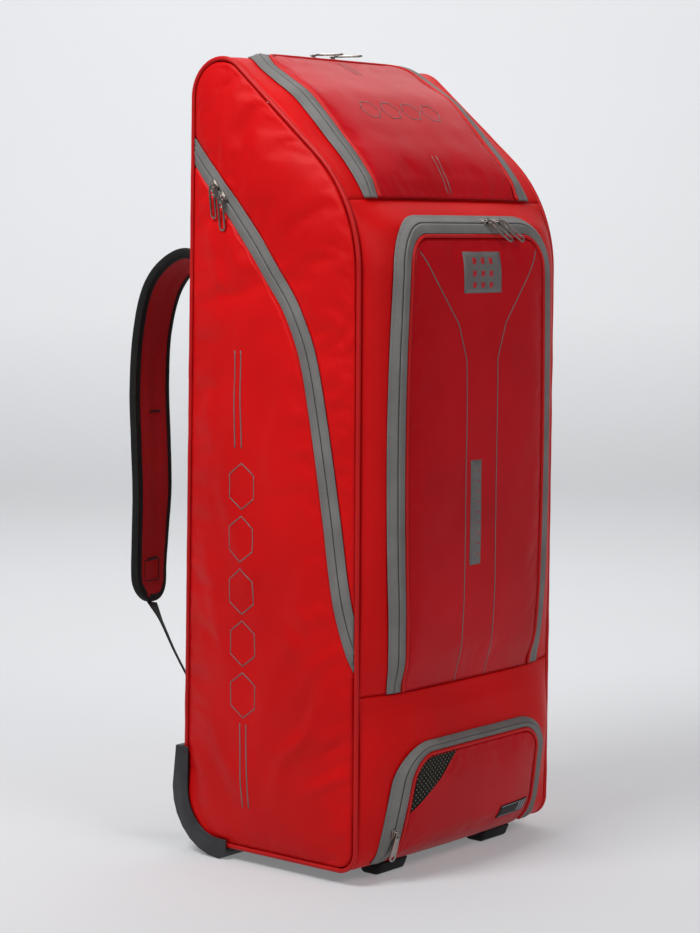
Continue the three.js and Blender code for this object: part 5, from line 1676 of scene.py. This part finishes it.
def sharpBySlope(obj, angle=35):
    obj.data.set_sharp_from_angle(angle=math.radians(angle))
    return obj


guardPiece = bevelEdges(newObject("heel_shell", copyNode("heel_guard")), 0.9, 2, 40)
finish(guardPiece, "bag", mouldedPlastic, ["heel_guard"])
for word in ("left", "right"):
    well = sharpBySlope(newObject(f"well_{word}", copyNode(f"wheel_well_{word}")))
    finish(well, "bag", mouldedPlastic, [f"wheel_well_{word}"])
    foot = bevelEdges(newObject(f"foot_{word}", copyNode(f"front_foot_{word}")), 6.0, 4, 30)
    finish(foot, "bag", blackRubber, [f"front_foot_{word}"])

wheel = {"radius": 31, "width": 26, "tyre": 9, "axle": 4, "gap": 0.4, "steps": 64}


def spinProfile(profile, centre, steps):  # turn a closed profile of (radius, along x) round the axle
    bm = bmesh.new()
    verts = [bm.verts.new((along, radius, 0)) for radius, along in profile]
    edges = [bm.edges.new((a, b)) for a, b in zip(verts, verts[1:] + verts[:1])]
    bmesh.ops.spin(bm, geom=verts + edges, cent=(0, 0, 0), axis=(1, 0, 0), angle=2 * math.pi, steps=steps,
                   use_merge=True)
    weld(bm, 0.0005)
    bmesh.ops.recalc_face_normals(bm, faces=bm.faces[:])
    matrix = Matrix.Translation(toFrame(*centre)) @ Matrix.Scale(0.001, 4)
    bmesh.ops.transform(bm, matrix=matrix, verts=bm.verts[:])
    return bm


def makeWheel(word, side):
    centre = (side * bag["wheelX"], bag["wheelBack"] * bag["depth"], wheel["radius"])
    halfWide, rim, big = wheel["width"] / 2, wheel["radius"] - wheel["tyre"], wheel["radius"]
    bore, boss = wheel["axle"] + wheel["gap"], wheel["axle"] * 2
    tyre = [(rim, 0.8 * halfWide), (big - 4, halfWide), (big - 1.2, 0.9 * halfWide),
            (big - 0.2, 0.55 * halfWide), (big, 2.2), (big - 1.2, 1.4)]
    tyre = [(radius, -along) for radius, along in tyre] + tyre[::-1]
    hub = [(bore, 0.9 * halfWide), (boss, 0.9 * halfWide), (boss + 1.5, 0.6 * halfWide),
           (rim - 3, 0.5 * halfWide), (rim - 2, 0.68 * halfWide), (rim - 0.4, 0.68 * halfWide)]
    hub = [(radius, -along) for radius, along in hub] + hub[::-1]
    tyrePiece = sharpBySlope(newObject(f"tyre_{word}", spinProfile(tyre, centre, wheel["steps"])), 45)
    finish(tyrePiece, f"wheel_{word}", blackRubber, [f"wheel_tyre_{word}"])
    hubPiece = sharpBySlope(newObject(f"hub_{word}", spinProfile(hub, centre, wheel["steps"])), 45)
    finish(hubPiece, f"wheel_{word}", hubPlastic, [f"wheel_hub_{word}"])
    axle = [(0.2, -20), (3.2, -20), (wheel["axle"], -19), (wheel["axle"], 19), (3.2, 20), (0.2, 20)]
    axlePiece = sharpBySlope(newObject(f"axle_pin_{word}", spinProfile(axle, centre, 32)), 45)
    finish(axlePiece, "bag", nickel, [f"axle_{word}"])


makeWheel("left", -1)
makeWheel("right", 1)
print("guard, wheels and feet made")

# Floor, light and camera

# glow: the paper's own emission, painted light, on the floor and higher up the wall
studio = {"floor": "bdbec0", "wall": "bfc0c3", "glow": (0.2, 0.36), "wide": 6.0, "front": -4.5,
          "back": 4.0, "high": 4.5, "curve": 1.4, "turn": 40.37, "world": 0.18}


def makeStudio():
    shade = Shade("studio_paper", 0.9)
    tone = shade.ramp(shade.noise(900, 2), [(0.3, colour(studio["floor"])), (0.7, colour(studio["wall"]))])
    # The paper glows as painted light, weaker on the floor than on the wall, and its colour is darkened
    # towards the floor as painted shade
    height = shade.axes(shade.object)[2]
    low, high = studio["glow"]
    shade.link(shade.ramp(height, [(0.0, low), (0.5, high)]), shade.shader.inputs["Emission Strength"])
    tone = shade.blend(1.0, tone, shade.ramp(height, [(0.0, 0.9), (0.9, 1.0)]), "MULTIPLY")
    shade.shader.inputs["Emission Color"].default_value = (0.93, 0.945, 0.96, 1)
    paper = shade.done(tone, None, shade.bump(shade.noise(3, 2), 0.05, 0.3))
    bm = bmesh.new()
    bmesh.ops.create_grid(bm, x_segments=8, y_segments=60, size=1)
    flat = studio["back"] - studio["front"]
    arc = studio["curve"] * math.pi / 2
    total = flat + arc + studio["high"]
    for v in bm.verts:
        d = (v.co.y + 1) / 2 * total
        if d <= flat:
            y, z = studio["front"] + d, 0
        elif d <= flat + arc:
            angle = (d - flat) / studio["curve"]
            y, z = studio["back"] + studio["curve"] * math.sin(angle), studio["curve"] * (1 - math.cos(angle))
        else:
            y, z = studio["back"] + studio["curve"], studio["curve"] + d - flat - arc
        v.co = Vector((v.co.x * studio["wide"], y, z))
    turn = Matrix.Rotation(math.radians(studio["turn"] - 90), 4, "Z")
    bmesh.ops.transform(bm, matrix=turn, verts=bm.verts[:])
    obj = newObject("studio_sweep", bm)
    obj.data.materials.append(paper)
    world = bpy.data.worlds.new("studio_air")
    bpy.context.scene.world = world
    world.use_nodes = True
    world.node_tree.nodes["Background"].inputs["Color"].default_value = (0.95, 0.97, 1.0, 1)
    world.node_tree.nodes["Background"].inputs["Strength"].default_value = studio["world"]


lights = [  # name, where, what it looks at, size in m, power in W
    ("key_left", (-1.5, 0.1, 2.35), (0, 0, 0.75), 1.1, 52),
    ("fill_front", (-0.4, -2.6, 2.1), (0, 0, 0.7), 1.2, 28),
    ("lid_sheen", (2.0, 0.6, 2.7), (0, 0, 0.9), 1.5, 8),
    ("low_soft", (-2.2, -2.4, 0.5), (0, 0, 0.4), 1.6, 4),
    ("sweep_wash", (0.6, 0.8, 3.6), (3.6, 3.4, 1.6), 2.4, 138),
]


def makeLights():
    for name, spot, target, size, power in lights:
        lamp = bpy.data.lights.new(name, "AREA")
        lamp.shape = "DISK"
        lamp.size = size
        lamp.energy = power
        obj = bpy.data.objects.new(name, lamp)
        obj.location = spot
        obj.rotation_euler = (Vector(target) - Vector(spot)).to_track_quat("-Z", "Y").to_euler()
        bpy.context.scene.collection.objects.link(obj)


camera = {"spot": (-2188.7, -1825.9, 739.1), "yaw": 40.37, "pitch": 5.477, "lens": 90.117, "sensor": 36}


def makeCamera():
    data = bpy.data.cameras.new("view")
    data.lens = camera["lens"]
    data.sensor_width = camera["sensor"]
    obj = bpy.data.objects.new("view", data)
    yaw, pitch = math.radians(camera["yaw"]), math.radians(camera["pitch"])
    forward = Vector((math.cos(pitch) * math.cos(yaw), math.cos(pitch) * math.sin(yaw), -math.sin(pitch)))
    obj.location = toFrame(*camera["spot"])
    obj.rotation_euler = forward.to_track_quat("-Z", "Y").to_euler()
    bpy.context.scene.collection.objects.link(obj)
    bpy.context.scene.camera = obj


makeStudio()
makeLights()
makeCamera()
bpy.context.scene.view_settings.view_transform = "Standard"
print("studio made")
